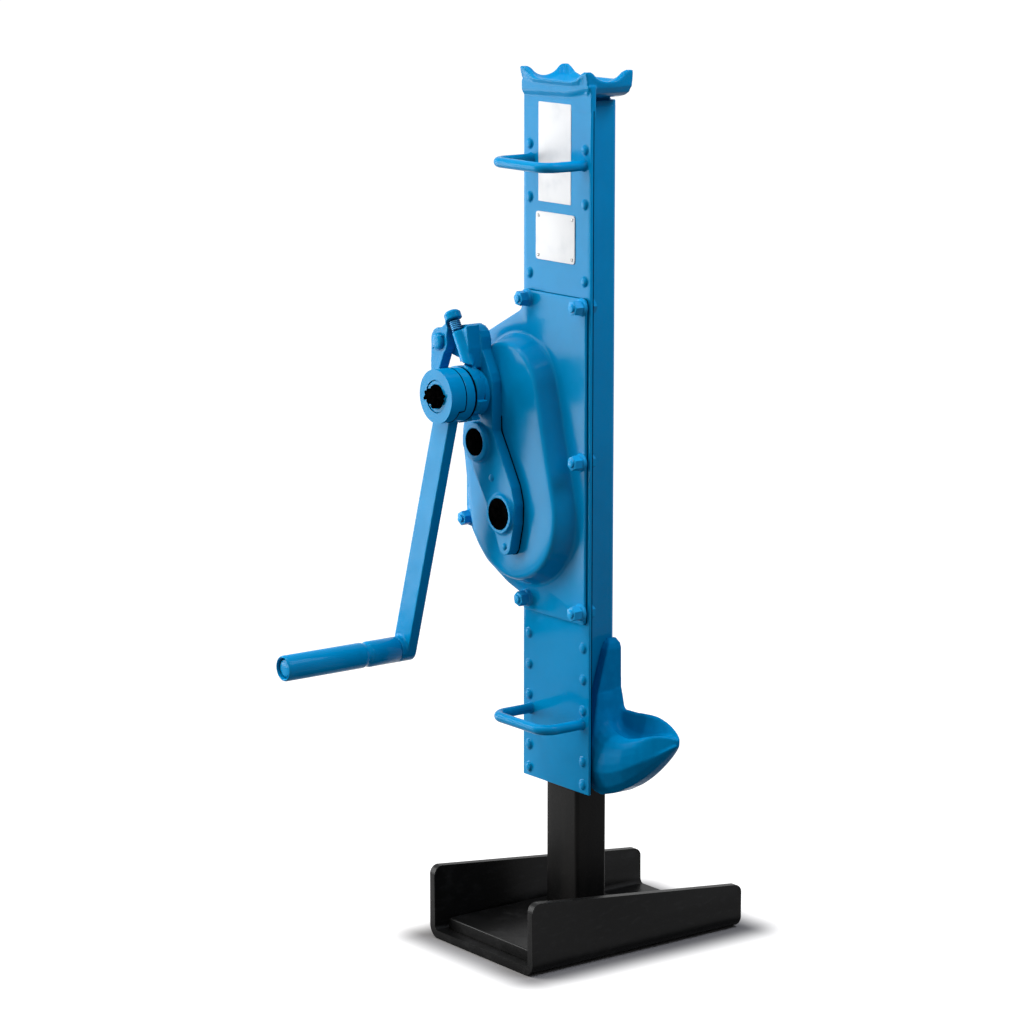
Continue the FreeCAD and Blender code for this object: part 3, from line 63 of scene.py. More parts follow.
class Wire:
    """An output of a node. Sums and products of values add Math nodes."""

    def __init__(self, web, socket):
        self.web = web
        self.socket = socket

    def math(self, operation, first, second):
        return self.web.node("ShaderNodeMath", {"operation": operation}, {0: first, 1: second})

    def __add__(self, other):
        return self.math("ADD", self, other)

    def __radd__(self, other):
        return self.math("ADD", other, self)

    def __sub__(self, other):
        return self.math("SUBTRACT", self, other)

    def __rsub__(self, other):
        return self.math("SUBTRACT", other, self)

    def __mul__(self, other):
        return self.math("MULTIPLY", self, other)

    def __rmul__(self, other):
        return self.math("MULTIPLY", other, self)

    def larger(self, other):
        return self.math("MAXIMUM", self, other)

    def size(self):
        return self.math("ABSOLUTE", self, 0.0)

    def part(self, index):
        """Another output of the same node."""
        return Wire(self.web, self.socket.node.outputs[index])

    def ramp(self, low, high):
        """From 0 to 1 as this value goes from low to high, eased at both ends."""
        return self.web.node("ShaderNodeMapRange", {"interpolation_type": "SMOOTHSTEP"},
                             {"Value": self, "From Min": low, "From Max": high})


class Web:
    """The nodes of a material or of the world."""

    def __init__(self, owner):
        owner.use_nodes = True
        self.tree = owner.node_tree
        self.tree.nodes.clear()

    def node(self, kind, settings=None, sockets=None, output=0):
        """A new node. Its sockets are given values, or wires from other nodes."""
        made = self.tree.nodes.new(kind)
        for name, value in (settings or {}).items():
            setattr(made, name, value)
        for key, value in (sockets or {}).items():
            if isinstance(value, Wire):
                self.tree.links.new(value.socket, made.inputs[key])
            else:
                made.inputs[key].default_value = value
        return Wire(self, made.outputs[output]) if made.outputs else made

    def mix(self, amount, first, second):
        """A colour between two colours."""
        return self.node("ShaderNodeMix", {"data_type": "RGBA"},
                         {0: amount, 6: first, 7: second}, output=2)

    def place(self, stretch=(1, 1, 1)):
        """Object coordinates in metres, stretched along each axis."""
        where = self.node("ShaderNodeTexCoord", output=3)
        return self.node("ShaderNodeMapping", {}, {"Vector": where, "Scale": stretch})

    def noise(self, size, stretch=(1, 1, 1), detail=3.0, roughness=0.5):
        """Cloudy values between 0 and 1 with patches about size millimetres across."""
        return self.node("ShaderNodeTexNoise", {}, {
            "Vector": self.place(stretch), "Scale": 1000 / size, "Detail": detail,
            "Roughness": roughness})

    def bump(self, height, strength, depth, under=None):
        """Normals from a height, where depth is in millimetres."""
        sockets = {"Strength": strength, "Distance": depth * MM, "Height": height}
        if under:
            sockets["Normal"] = under
        return self.node("ShaderNodeBump", {}, sockets)

    def surface(self, **sockets):
        """The material's shader. Underscores stand for the spaces in its sockets' names."""
        shader = self.node("ShaderNodeBsdfPrincipled", {}, {
            name.replace("_", " "): value for name, value in sockets.items()})
        self.node("ShaderNodeOutputMaterial", {}, {"Surface": shader})


def shade(red, green, blue):
    """A colour from its 0 to 255 values on the screen."""
    def level(value):
        value /= 255
        return value / 12.92 if value <= 0.04045 else ((value + 0.055) / 1.055) ** 2.4
    return (level(red), level(green), level(blue), 1.0)


def material(name, look):
    """A material whose nodes are laid by look."""
    made = bpy.data.materials.new(name)
    look(Web(made))
    return made


def blue_paint(deep, pale, grain, waves, gloss, shine=0.045):
    """Blue enamel: patches of a deeper and a paler coat over a skin of grain millimetres."""
    def look(web):
        patches = web.noise(60).ramp(0.3, 0.7)
        mottle = web.noise(9, detail=4).ramp(0.35, 0.75)
        skin = web.noise(grain, detail=4)
        wave = web.noise(26, detail=1)
        colour = web.mix(patches, deep, pale)
        colour = web.mix(mottle * 0.2, colour, shade(0, 132, 190))
        normal = web.bump(wave, waves, 1.6)
        normal = web.bump(skin, 0.1, 0.2, normal)
        web.surface(Base_Color=colour, Roughness=mottle * 0.06 + gloss, Specular_IOR_Level=shine,
                    Normal=normal)
    return look


enamel = material("blue_enamel", blue_paint(shade(0, 123, 174), shade(0, 129, 181), 2.2, 0.12, 0.13))
# Painted highlight: a paler copy of the blue enamel for broken edges, nuts and bolt ends that catch the
# light.
enamel_painted_highlight = material("blue_enamel_painted_highlight", blue_paint(
    shade(14, 136, 192), shade(28, 144, 198), 2.2, 0.08, 0.12))
forged_enamel = material("blue_over_forging", blue_paint(
    shade(0, 122, 173), shade(0, 129, 181), 3.5, 0.4, 0.15))
# Painted shade: a darker copy of the blue enamel for the claw, standing in for the shade on its toe and
# spine.
claw_enamel_painted_shade = material("blue_on_the_claw_painted_shade", blue_paint(
    shade(0, 108, 158), shade(0, 114, 165), 3.5, 0.4, 0.2, 0.01))


def black_sheet(web):
    """Black paint on rolled sheet: a fine grain, grey scuffs and a little dust."""
    scuffs = web.noise(30, detail=6, roughness=0.65).ramp(0.52, 0.78)
    grain = web.noise(1.6, detail=5)
    streaks = web.noise(14, stretch=(1, 1, 3), detail=5).ramp(0.5, 0.8)
    colour = web.mix(scuffs, shade(9, 9, 9), shade(24, 24, 24))
    colour = web.mix(streaks * 0.5, colour, shade(32, 32, 32))
    normal = web.bump(grain, 0.3, 0.3)
    web.surface(Base_Color=colour, Roughness=0.36 + scuffs * 0.2, Specular_IOR_Level=0.1, Normal=normal)


def worn_and_highlit_edge(web):
    """The edge of the black sheet in a dull grey: partly paint worn off the edge, partly a painted
    highlight along it.
    """
    worn = web.noise(7, detail=5, roughness=0.7).ramp(0.4, 0.7)
    colour = web.mix(worn, shade(34, 34, 35), shade(84, 84, 86))
    web.surface(Base_Color=colour, Roughness=0.45 - worn * 0.15, Specular_IOR_Level=0.3,
                Normal=web.bump(web.noise(1.4), 0.25, 0.2))


def rack_black(web):
    """Dark scale on the rack, with upright rubbing marks."""
    rubbed = web.noise(26, stretch=(1, 1, 0.16), detail=5).ramp(0.42, 0.75)
    scale = web.noise(5, detail=6, roughness=0.7)
    colour = web.mix(rubbed, shade(9, 9, 9), shade(21, 20, 19))
    colour = web.mix(scale.ramp(0.55, 0.75) * 0.5, colour, shade(36, 34, 33))
    web.surface(Base_Color=colour, Roughness=0.34 + scale * 0.3, Specular_IOR_Level=0.07,
                Normal=web.bump(scale, 0.3, 0.4))


def black_and_shadow_paint(web):
    """Near-black paint with smeary patches on the shaft ends, the castle nut and the split pin; laid in the
    joints and gaps, the same black is painted shadow.
    """
    smear = web.noise(5, detail=4).ramp(0.4, 0.8)
    colour = web.mix(smear, shade(1, 1, 1), shade(7, 6, 6))
    web.surface(Base_Color=colour, Roughness=0.7 - smear * 0.2, Specular_IOR_Level=0.0,
                Normal=web.bump(web.noise(1.2), 0.2, 0.15))


def machined(bright, dull, finish):
    """Bare steel or bronze under a cloudy film, with fine marks from turning."""
    def look(web):
        marks = web.noise(3, stretch=(1, 8, 1), detail=5)
        film = web.noise(18, detail=3).ramp(0.35, 0.7)
        web.surface(Base_Color=web.mix(film, bright, dull), Metallic=1.0,
                    Roughness=finish + marks * 0.18, Normal=web.bump(marks, 0.18, 0.1))
    return look


def lining_and_gap_shade(web):
    """Pressed fibre of the brake linings, made near black as painted shade for the gap they fill between
    the ratchet and the bracket.
    """
    fibres = web.noise(1.2, stretch=(1, 3, 1), detail=5)
    colour = web.mix(fibres.ramp(0.4, 0.7), shade(20, 18, 17), shade(38, 35, 32))
    web.surface(Base_Color=colour, Roughness=0.85, Specular_IOR_Level=0.1,
                Normal=web.bump(fibres, 0.5, 0.3))


def label_white(web):
    """A blank white film or plate, faintly uneven and a little soiled."""
    soil = web.noise(22, detail=4).ramp(0.5, 0.85)
    colour = web.mix(soil, shade(196, 197, 198), shade(182, 185, 188))
    web.surface(Base_Color=colour, Roughness=0.36 + soil * 0.15, Specular_IOR_Level=0.15,
                Normal=web.bump(web.noise(8), 0.12, 0.2))


black = material("black_sheet", black_sheet)
black_edge_wear_and_highlight = material("black_sheet_edge_wear_and_highlight", worn_and_highlit_edge)
rack_dark = material("rack_black", rack_black)
black_paint_and_shadow = material("black_paint_and_painted_shadow", black_and_shadow_paint)
spring_wire = material("spring_wire", machined(shade(48, 110, 150), shade(14, 46, 70), 0.28))
cut_steel = material("cut_steel", machined(shade(176, 176, 178), shade(128, 124, 118), 0.26))
bronze = material("bearing_bronze", machined(shade(190, 150, 92), shade(140, 104, 60), 0.3))
lining_dark_as_gap_shade = material("brake_lining_and_gap_shade", lining_and_gap_shade)
white_plate = material("label_white", label_white)


# Making pieces

def object_from(name, mesh):
    """A mesh as a new piece in the scene."""
    piece = bpy.data.objects.new(name, mesh)
    bpy.context.scene.collection.objects.link(piece)
    return piece


def mesh_from(bm, name):
    """The mesh of a bmesh, which is freed."""
    mesh = bpy.data.meshes.new(name)
    bm.to_mesh(mesh)
    bm.free()
    return mesh


def frozen(piece):
    """Apply a piece's modifiers and leave it a plain mesh."""
    graph = bpy.context.evaluated_depsgraph_get()
    graph.update()
    mesh = bpy.data.meshes.new_from_object(piece.evaluated_get(graph), depsgraph=graph)
    piece.modifiers.clear()
    piece.data = mesh


def settle(piece, body, finishes, stands_for=(), sharp=35):
    """Shade a finished piece, give it its materials, and tie it to its body."""
    mesh = piece.data
    mesh.shade_smooth()
    if sharp:
        mesh.set_sharp_from_angle(angle=math.radians(sharp))
    mesh.materials.clear()
    for finish in finishes:
        mesh.materials.append(finish)
    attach(piece, body)
    if stands_for:
        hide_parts(*stands_for)


def node_copy(node, join=True):
    """A merged copy of a CAD node's mesh, its flat faces joined."""
    bm = bmesh.new()
    bm.from_mesh(nodes[node].data)
    bmesh.ops.remove_doubles(bm, verts=bm.verts, dist=0.00001)
    if join:
        bmesh.ops.dissolve_limit(bm, angle_limit=math.radians(0.8), verts=bm.verts, edges=bm.edges)
    for face in bm.faces:
        face.material_index = 0
    return bm


def broken_edges(name, node, width, body, finishes, sharper_than=34, shortest=3.0, join=True):
    """A CAD node with its long sharp edges broken by width millimetres."""
    bm = node_copy(node, join)
    edges = [edge for edge in bm.edges
             if len(edge.link_faces) == 2 and edge.calc_length() > shortest * MM
             and edge.calc_face_angle(0) > math.radians(sharper_than)]
    # The broken edges take the last finish; where that is a paler edge material, it is a painted highlight.
    bmesh.ops.bevel(bm, geom=edges, offset=width * MM, segments=2, profile=0.6, affect="EDGES",
                    clamp_overlap=False, material=len(finishes) - 1)
    piece = object_from(name, mesh_from(bm, name))
    settle(piece, body, finishes, (node,))


def forging(piece, node, voxel, passes, body, finish):
    """Round every edge and inner corner of a piece, as on a forging under thick paint."""
    remesh = piece.modifiers.new("remesh", "REMESH")
    remesh.mode = "VOXEL"
    remesh.voxel_size = voxel * MM
    smooth = piece.modifiers.new("smooth", "SMOOTH")
    smooth.factor = 0.5
    smooth.iterations = passes
    frozen(piece)
    settle(piece, body, [finish], (node,), sharp=None)


def forged(name, node, voxel, passes, finish, *solids):
    """Overlapping solids, each given as loops, run together into one forging."""
    bm = bmesh.new()
    for loops in solids:
        rings(bm, loops)
    bmesh.ops.recalc_face_normals(bm, faces=bm.faces)
    piece = object_from(name, mesh_from(bm, name))
    forging(piece, node, voxel, passes, "housing", finish)


def softened(name, node, voxel, passes, body, finish):
    """A CAD node as a forging."""
    piece = object_from(name, mesh_from(node_copy(node, join=False), name))
    forging(piece, node, voxel, passes, body, finish)


def placed(bm, points):
    """New vertices at these points."""
    return [bm.verts.new(point) for point in points]


def bridge(bm, first, second):
    """Faces between two closed loops with the same number of vertices."""
    count = len(first)
    for i in range(count):
        j = (i + 1) % count
        bm.faces.new((first[i], first[j], second[j], second[i]))


def rings(bm, loops, caps=True):
    """Skin closed loops of points one after another, and close the two ends with caps."""
    made = [placed(bm, loop) for loop in loops]
    for before, after in zip(made, made[1:]):
        bridge(bm, before, after)
    if caps:
        bm.faces.new(reversed(made[0]))
        bm.faces.new(made[-1])


def circle(centre, radius, y, sides):
    """Points round a circle across Y, given in millimetres."""
    return [Vector((centre[0] + radius * math.cos(math.tau * i / sides), y,
                    centre[1] + radius * math.sin(math.tau * i / sides))) * MM
            for i in range(sides)]


def lathe(bm, centre, profile, sides=40):
    """A turned solid about the line through centre along Y. The profile is (radius, y) in mm,
    from the axis at one end to the axis at the other."""
    made = [placed(bm, circle(centre, radius, y, sides)) for radius, y in profile if radius > 0]
    for before, after in zip(made, made[1:]):
        bridge(bm, before, after)
    for (radius, y), ring, turn in ((profile[0], made[0], False), (profile[-1], made[-1], True)):
        if radius > 0:
            bm.faces.new(ring)
            continue
        pole = bm.verts.new(Vector((centre[0], y, centre[1])) * MM)
        for i in range(sides):
            j = (i + 1) % sides
            bm.faces.new((ring[i], ring[j], pole) if turn else (ring[j], ring[i], pole))


def lathe_ring(bm, centre, profile, sides=44):
    """A turned ring whose profile closes on itself."""
    loops = [placed(bm, circle(centre, radius, y, sides)) for radius, y in profile]
    for before, after in zip(loops, loops[1:] + loops[:1]):
        bridge(bm, before, after)


def outwards(bm):
    """Merge the points that meet and turn every face outwards."""
    bmesh.ops.remove_doubles(bm, verts=bm.verts, dist=0.000005)
    bmesh.ops.recalc_face_normals(bm, faces=bm.faces)
    return bm


def finished(name, bm, body, finish, stands_for=(), sharp=35):
    """A bmesh as a finished piece with one material."""
    piece = object_from(name, mesh_from(outwards(bm), name))
    settle(piece, body, [finish], stands_for, sharp)


def turned(name, centre, profile, body, finish, stands_for=(), sides=40):
    """A turned solid as a finished piece."""
    bm = bmesh.new()
    lathe(bm, centre, profile, sides)
    finished(name, bm, body, finish, stands_for)


def tube(bm, path, radius, sides, swell=None):
    """A round bar along a path of points in mm. swell(distance, length) adds to its radius."""
    points = [Vector(point) for point in path]
    length = sum((b - a).length for a, b in zip(points, points[1:]))
    side = None
    travelled = 0
    loops = []
    for i, point in enumerate(points):
        ahead = points[min(i + 1, len(points) - 1)]
        behind = points[max(i - 1, 0)]
        along = (ahead - behind).normalized()
        side = side or along.orthogonal()
        side = (side - along * along.dot(side)).normalized()
        other = along.cross(side)
        if i:
            travelled += (point - points[i - 1]).length
        here = radius + (swell(travelled, length) if swell else 0)
        loops.append([(point + side * here * math.cos(math.tau * k / sides)
                       + other * here * math.sin(math.tau * k / sides)) * MM
                      for k in range(sides)])
    rings(bm, loops)


def arc(centre, radius, start, end, steps):
    """Points (x, z) on an arc, the angles in degrees from +X towards +Z."""
    return [(centre[0] + radius * math.cos(math.radians(start + (end - start) * i / steps)),
             centre[1] + radius * math.sin(math.radians(start + (end - start) * i / steps)))
            for i in range(steps + 1)]


def rounded(corners, radius, steps=4):
    """A closed outline whose corners are rounded."""
    points = []
    for i, corner in enumerate(corners):
        here = Vector(corner)
        before = Vector(corners[i - 1]) - here
        after = Vector(corners[(i + 1) % len(corners)]) - here
        reach = min(radius, before.length / 2.2, after.length / 2.2)
        start = here + before.normalized() * reach
        end = here + after.normalized() * reach
        for k in range(steps + 1):
            t = k / steps
            points.append(tuple(start * (1 - t) ** 2 + here * 2 * t * (1 - t) + end * t * t))
    return points


def inset(points, amount):
    """A closed anticlockwise outline moved inwards by amount."""
    moved = []
    for i, point in enumerate(points):
        before = Vector(points[i - 1])
        after = Vector(points[(i + 1) % len(points)])
        along = (after - before).normalized()
        moved.append((point[0] - along.y * amount, point[1] + along.x * amount))
    return moved


def curve(at, *knots):
    """The value at a place on a line through knots (place, value)."""
    for (start, low), (end, high) in zip(knots, knots[1:]):
        if at <= end:
            return low + (high - low) * max(0.0, at - start) / (end - start)
    return knots[-1][1]


def block(*levels):
    """Loops of a four-sided solid with a rectangle (x0, x1, y0, y1) at each height z."""
    return [[Vector((x, y, z)) * MM for x, y in ((x0, y0), (x1, y0), (x1, y1), (x0, y1))]
            for z, x0, x1, y0, y1 in levels]


# Camera, lamps and floor

def stand_camera():
    """The photograph's view: from the claw's side and the front, a little above the jack's head."""
    lens = bpy.data.cameras.new("camera")
    lens.lens = 129.51
    lens.sensor_width = 36
    lens.clip_end = 100
    camera = bpy.data.objects.new("camera", lens)
    camera.location = (2.7742, -2.1821, 1.1371)
    camera.rotation_euler = (math.radians(90 - 11.328), 0, math.radians(52.849))
    bpy.context.scene.collection.objects.link(camera)
    bpy.context.scene.camera = camera


def soft_box(name, place, target, width, height, power, colour=(1, 1, 1)):
    """A rectangular lamp that faces its target."""
    lamp = bpy.data.lights.new(name, "AREA")
    lamp.color = colour
    lamp.shape = "RECTANGLE"
    lamp.size = width
    lamp.size_y = height
    lamp.energy = power
    holder = bpy.data.objects.new(name, lamp)
    holder.location = place
    holder.rotation_euler = (Vector(target) - Vector(place)).to_track_quat("-Z", "Y").to_euler()
    bpy.context.scene.collection.objects.link(holder)


def seen_directly(web):
    """1 where the camera, a reflection or glass sees a surface, 0 where it only gives light."""
    camera = web.node("ShaderNodeLightPath", output=0)
    glossy = web.node("ShaderNodeLightPath", output=3)
    glass = web.node("ShaderNodeLightPath", output=6)
    return camera.larger(glossy).larger(glass)


def light_studio():
    """Soft lamps from the front, above and behind, a narrow one for the edges, and a weak fill."""
    scene = bpy.context.scene
    scene.view_settings.view_transform = "Standard"
    world = bpy.data.worlds.new("studio")
    scene.world = world
    web = Web(world)
    shown = web.node("ShaderNodeBackground", {}, {"Color": (1, 1, 1, 1), "Strength": 1.0})
    fill = web.node("ShaderNodeBackground", {}, {"Color": (0.9, 0.94, 1, 1), "Strength": 0.28})
    both = web.node("ShaderNodeMixShader", {}, {0: seen_directly(web), 1: fill, 2: shown})
    web.node("ShaderNodeOutputWorld", {}, {"Surface": both})
    soft_box("front_soft_box", (-1.24, -0.85, 0.61), (0, 0, 0.6), 1.1, 1.16, 33)
    soft_box("top_soft_box", (-0.3, -0.9, 2.5), (0, 0, 0.4), 1.6, 1.6, 30)
    soft_box("edge_strip", (-0.9, -1.4, 1.9), (0, 0, 0.5), 0.07, 1.1, 14)
    soft_box("side_soft_box", (0.9, 0.4, 1.75), (0, 0, 0.5), 0.8, 0.8, 20, (0.82, 0.87, 1))
    bm = bmesh.new()
    bmesh.ops.create_grid(bm, x_segments=1, y_segments=1, size=30)
    floor = object_from("floor", mesh_from(bm, "floor"))
    floor.location.z = -0.0004
    floor.data.materials.append(material("floor_with_painted_shadow", floor_with_painted_shadow))


def floor_with_painted_shadow(web):
    """Pale grey close to the jack, where the lamps cast its shadow, and white further out; the white glow
    fades out towards the base's edges, a painted shadow band round the base.
    """
    base_half_width, base_middle, base_half_length = 0.084, 0.013, 0.132
    where = web.node("ShaderNodeSeparateXYZ", {}, {"Vector": web.node("ShaderNodeTexCoord", output=3)})
    across = (where.part(0).size() - base_half_width).larger(0.0)
    along = ((where.part(1) - base_middle).size() - base_half_length).larger(0.0)
    away = web.node("ShaderNodeMath", {"operation": "SQRT"}, {0: across * across + along * along})
    # Painted shadow: the white glow fades out within about 5 cm of the base's footprint.
    white = away.ramp(0.002, 0.052) * seen_directly(web)
    tone = web.noise(400, detail=2).ramp(0.3, 0.7)
    colour = web.mix(tone, (0.21, 0.202, 0.198, 1), (0.235, 0.227, 0.223, 1))
    web.surface(Base_Color=colour, Roughness=0.9, Specular_IOR_Level=0.0,
                Emission_Color=web.mix(white, (0, 0, 0, 1), (1, 1, 1, 1)), Emission_Strength=1.0)


# Base and rack

def base_and_rack():
    """Channel, foot plate, rack bar and the weld round its foot."""
    # The broken edges of the black sheet take the grey edge material: partly worn paint, partly a painted
    # highlight.
    broken_edges("base_sheet", "base_channel", 0.9, "base", [black, black_edge_wear_and_highlight])
    broken_edges("foot_slab", "foot_plate", 0.5, "base", [black, black_edge_wear_and_highlight])
    broken_edges("rack_bar", "toothed_rack", 0.5, "base", [rack_dark])
    rack_bead()


def rack_bead():
    """The weld round the foot of the rack, laid in short overlapping ripples."""
    half_x, half_y, foot = 24.5, 19.0, 20.0
    path = rounded([(-half_x, -half_y), (half_x, -half_y), (half_x, half_y), (-half_x, half_y)], 4, 6)
    walk = []
    for a, b in zip(path, path[1:] + path[:1]):
        steps = max(1, round((Vector(b) - Vector(a)).length / 0.6))
        walk += [tuple(Vector(a).lerp(Vector(b), k / steps)) for k in range(steps)]
    bm = bmesh.new()
    loops = []
    for i, (x, y) in enumerate(walk):
        ahead = Vector(walk[(i + 1) % len(walk)]) - Vector(walk[i - 1])
        out = Vector((ahead.y, -ahead.x)).normalized()
        swell = 1 + 0.07 * math.sin(i * 1.3) + 0.05 * math.sin(i * 0.37)
        section = []
        for reach, rise in ((-1.5, 7.4), (0.4, 7.2), (2.4, 6.0), (4.6, 4.2), (6.4, 2.2), (7.6, 0.2),
                            (7.6, -1.0), (-1.5, -1.0)):
            grow = swell if reach > 0 else 1
            section.append(Vector((x + out.x * reach * grow, y + out.y * reach * grow,
                                   foot + rise * (grow if rise > 0 else 1))) * MM)
        loops.append(section)
    rings(bm, loops + loops[:1], caps=False)
    finished("rack_foot_weld", bm, "base", black_edge_wear_and_highlight, ("rack_weld",), 60)


# Housing

def housing():
    """Tube, front plate and rear case. The tube's triangles stay: joined, they leave a thin hole."""
    broken_edges("housing_tube", "housing_body", 0.6, "housing", [enamel], join=False)
    # The plate's broken edges take the paler blue, a painted highlight.
    broken_edges("plate_front", "front_plate", 0.7, "housing", [enamel, enamel_painted_highlight])
    broken_edges("case_rear", "gear_case_rear", 0.8, "housing", [enamel])


def carry_handle(name, node, height):
    """A round bar bent to a U, with a weld at each foot."""
    half, front, reach, bend = 41.0, PLATE_FACE + 0.5, -72.0, 14.0
    left = arc((bend - half, reach + bend), bend, 180, 270, 12)
    right = arc((half - bend, reach + bend), bend, 270, 360, 12)
    run = [(-half, front + (reach + bend - front) * k / 12) for k in range(12)]
    back = [(half, reach + bend + (front - reach - bend) * k / 12) for k in range(1, 13)]
    path = [(x, y, height) for x, y in run + left + right + back]

    def weld(distance, length):
        near = min(distance, length - distance)
        return 1.3 * max(0.0, 1 - near / 3.0) ** 1.6

    bm = bmesh.new()
    tube(bm, path, 5, 24, weld)
    finished(name, bm, "housing", enamel, (node,), 60)


def label_card(name, left, right, low, high, corner, thick, stands_for=()):
    """A thin white card on the front plate, its corners and rim rounded."""
    outline = rounded([(left, low), (right, low), (right, high), (left, high)], corner, 5)
    bm = bmesh.new()
    loops = []
    for amount, y in ((0, PLATE_FACE + 0.1), (0, PLATE_FACE - thick * 0.7),
                      (0.12, PLATE_FACE - thick * 0.93), (0.35, PLATE_FACE - thick)):
        loops.append([Vector((x * MM, y * MM, z * MM)) for x, z in inset(outline, amount)])
    rings(bm, loops)
    finished(name, bm, "housing", white_plate, stands_for)


# What repeats is placed by geometry nodes

def new_tree(name, **inputs):
    """A geometry tree with these inputs, given as label and kind, beside its geometry."""
    tree = bpy.data.node_groups.new(name, "GeometryNodeTree")
    face = tree.interface
    face.new_socket("Geometry", in_out="INPUT", socket_type="NodeSocketGeometry")
    for label, kind in inputs.items():
        face.new_socket(label, in_out="INPUT", socket_type=f"NodeSocket{kind}")
    face.new_socket("Geometry", in_out="OUTPUT", socket_type="NodeSocketGeometry")
    return tree


def grown(piece, tree, **values):
    """Run a tree on a piece with its named inputs set, and leave a plain mesh."""
    modifier = piece.modifiers.new("growth", "NODES")
    modifier.node_group = tree
    sockets = {item.name: item.identifier for item in tree.interface.items_tree
               if item.in_out == "INPUT"}
    for name, value in values.items():
        modifier[sockets[name]] = value
    frozen(piece)


def stud_tree():
    """Copies a stud to each point, turned about its own axis by a seeded random angle."""
    tree = new_tree("studs_on_points", Stud="Object", Turn="Float", Finish="Material")
    add = tree.nodes.new
    link = tree.links.new
    given = add("NodeGroupInput")
    stud = add("GeometryNodeObjectInfo")
    spread = add("FunctionNodeRandomValue")
    spread.inputs["Seed"].default_value = 7
    turn = add("ShaderNodeCombineXYZ")
    copies = add("GeometryNodeInstanceOnPoints")
    real = add("GeometryNodeRealizeInstances")
    painted = add("GeometryNodeSetMaterial")
    result = add("NodeGroupOutput")
    link(given.outputs["Stud"], stud.inputs["Object"])
    link(given.outputs["Turn"], spread.inputs["Max"])
    link(spread.outputs["Value"], turn.inputs["Y"])
    link(given.outputs["Geometry"], copies.inputs["Points"])
    link(stud.outputs["Geometry"], copies.inputs["Instance"])
    link(turn.outputs["Vector"], copies.inputs["Rotation"])
    link(copies.outputs["Instances"], real.inputs["Geometry"])
    link(real.outputs["Geometry"], painted.inputs["Geometry"])
    link(given.outputs["Finish"], painted.inputs["Material"])
    link(painted.outputs["Geometry"], result.inputs["Geometry"])
    return tree


STUDS = stud_tree()
NUT_FLATS = 13


def studs(name, draw, places, turn, body, finish, stands_for=(), sharp=35):
    """One piece with a stud, drawn at the origin, at each place (x, y, z), turned by up to turn."""
    bm = bmesh.new()
    draw(bm)
    pattern = object_from(f"{name}_pattern", mesh_from(outwards(bm), f"{name}_pattern"))
    points = bpy.data.meshes.new(f"{name}_points")
    points.from_pydata([Vector(place) * MM for place in places], [], [])
    piece = object_from(name, points)
    grown(piece, STUDS, Stud=pattern, Turn=math.radians(turn), Finish=finish)
    bpy.data.objects.remove(pattern)
    settle(piece, body, [finish], stands_for, sharp)


def rivet_head(radius, height, shoulder=0.0):
    """A round head that stands out towards -Y, with a small paint fillet at its foot."""
    def make(bm):
        dome = [(radius * math.cos(math.radians(a)) ** 0.8, -shoulder - height * math.sin(math.radians(a)))
                for a in (10, 28, 46, 62, 76)]
        lathe(bm, (0, 0), [(0, 0.3), (radius * 1.28, 0.3), (radius * 1.28, -0.05), (radius * 1.1, -0.3),
                           (radius, -0.7)] + dome + [(0, -shoulder - height)], 20)
    return make


def hexagon(y, shrink=0.0):
    """Points round a nut or a bolt head, its corners drawn in by shrink."""
    corner = NUT_FLATS / math.sqrt(3) - shrink
    return [Vector((corner * math.cos(math.radians(60 * i + 30)), y,
                    corner * math.sin(math.radians(60 * i + 30)))) * MM for i in range(6)]


def painted_nut(bm):
    """A hexagon with a broken front edge, on a round seat that the paint has run round."""
    rings(bm, [hexagon(-2), hexagon(-10.9), hexagon(-11.7, 0.4), hexagon(-12, 1.3)])
    lathe(bm, (0, 0), [(0, 0.2), (9.0, 0.2), (9.0, -0.3), (8.3, -0.9), (8.1, -2.2), (7.7, -2.8),
                       (6.9, -3.2), (0, -3.2)], 28)


def bolt_end(bm):
    """The bolt's end in front of its nut."""
    lathe(bm, (0, 0), [(0, 3), (4, 3), (4, -13), (3.6, -13.7), (2.6, -14), (0, -14)], 20)


def bolt_head(bm):
    """The bolt's shank and its head behind the sheet."""
    rings(bm, [hexagon(4.9, 1.2), hexagon(4.2), hexagon(0)])
    lathe(bm, (0, 0), [(0, 1), (4, 1), (4, -9), (0, -9)], 16)


BOLTS = [(-42.5, 639), (42.5, 639), (42.5, 489), (42.5, 341), (-42.5, 341)]
CASE_BOLTS = [(-136, 407), (-122, 579)]


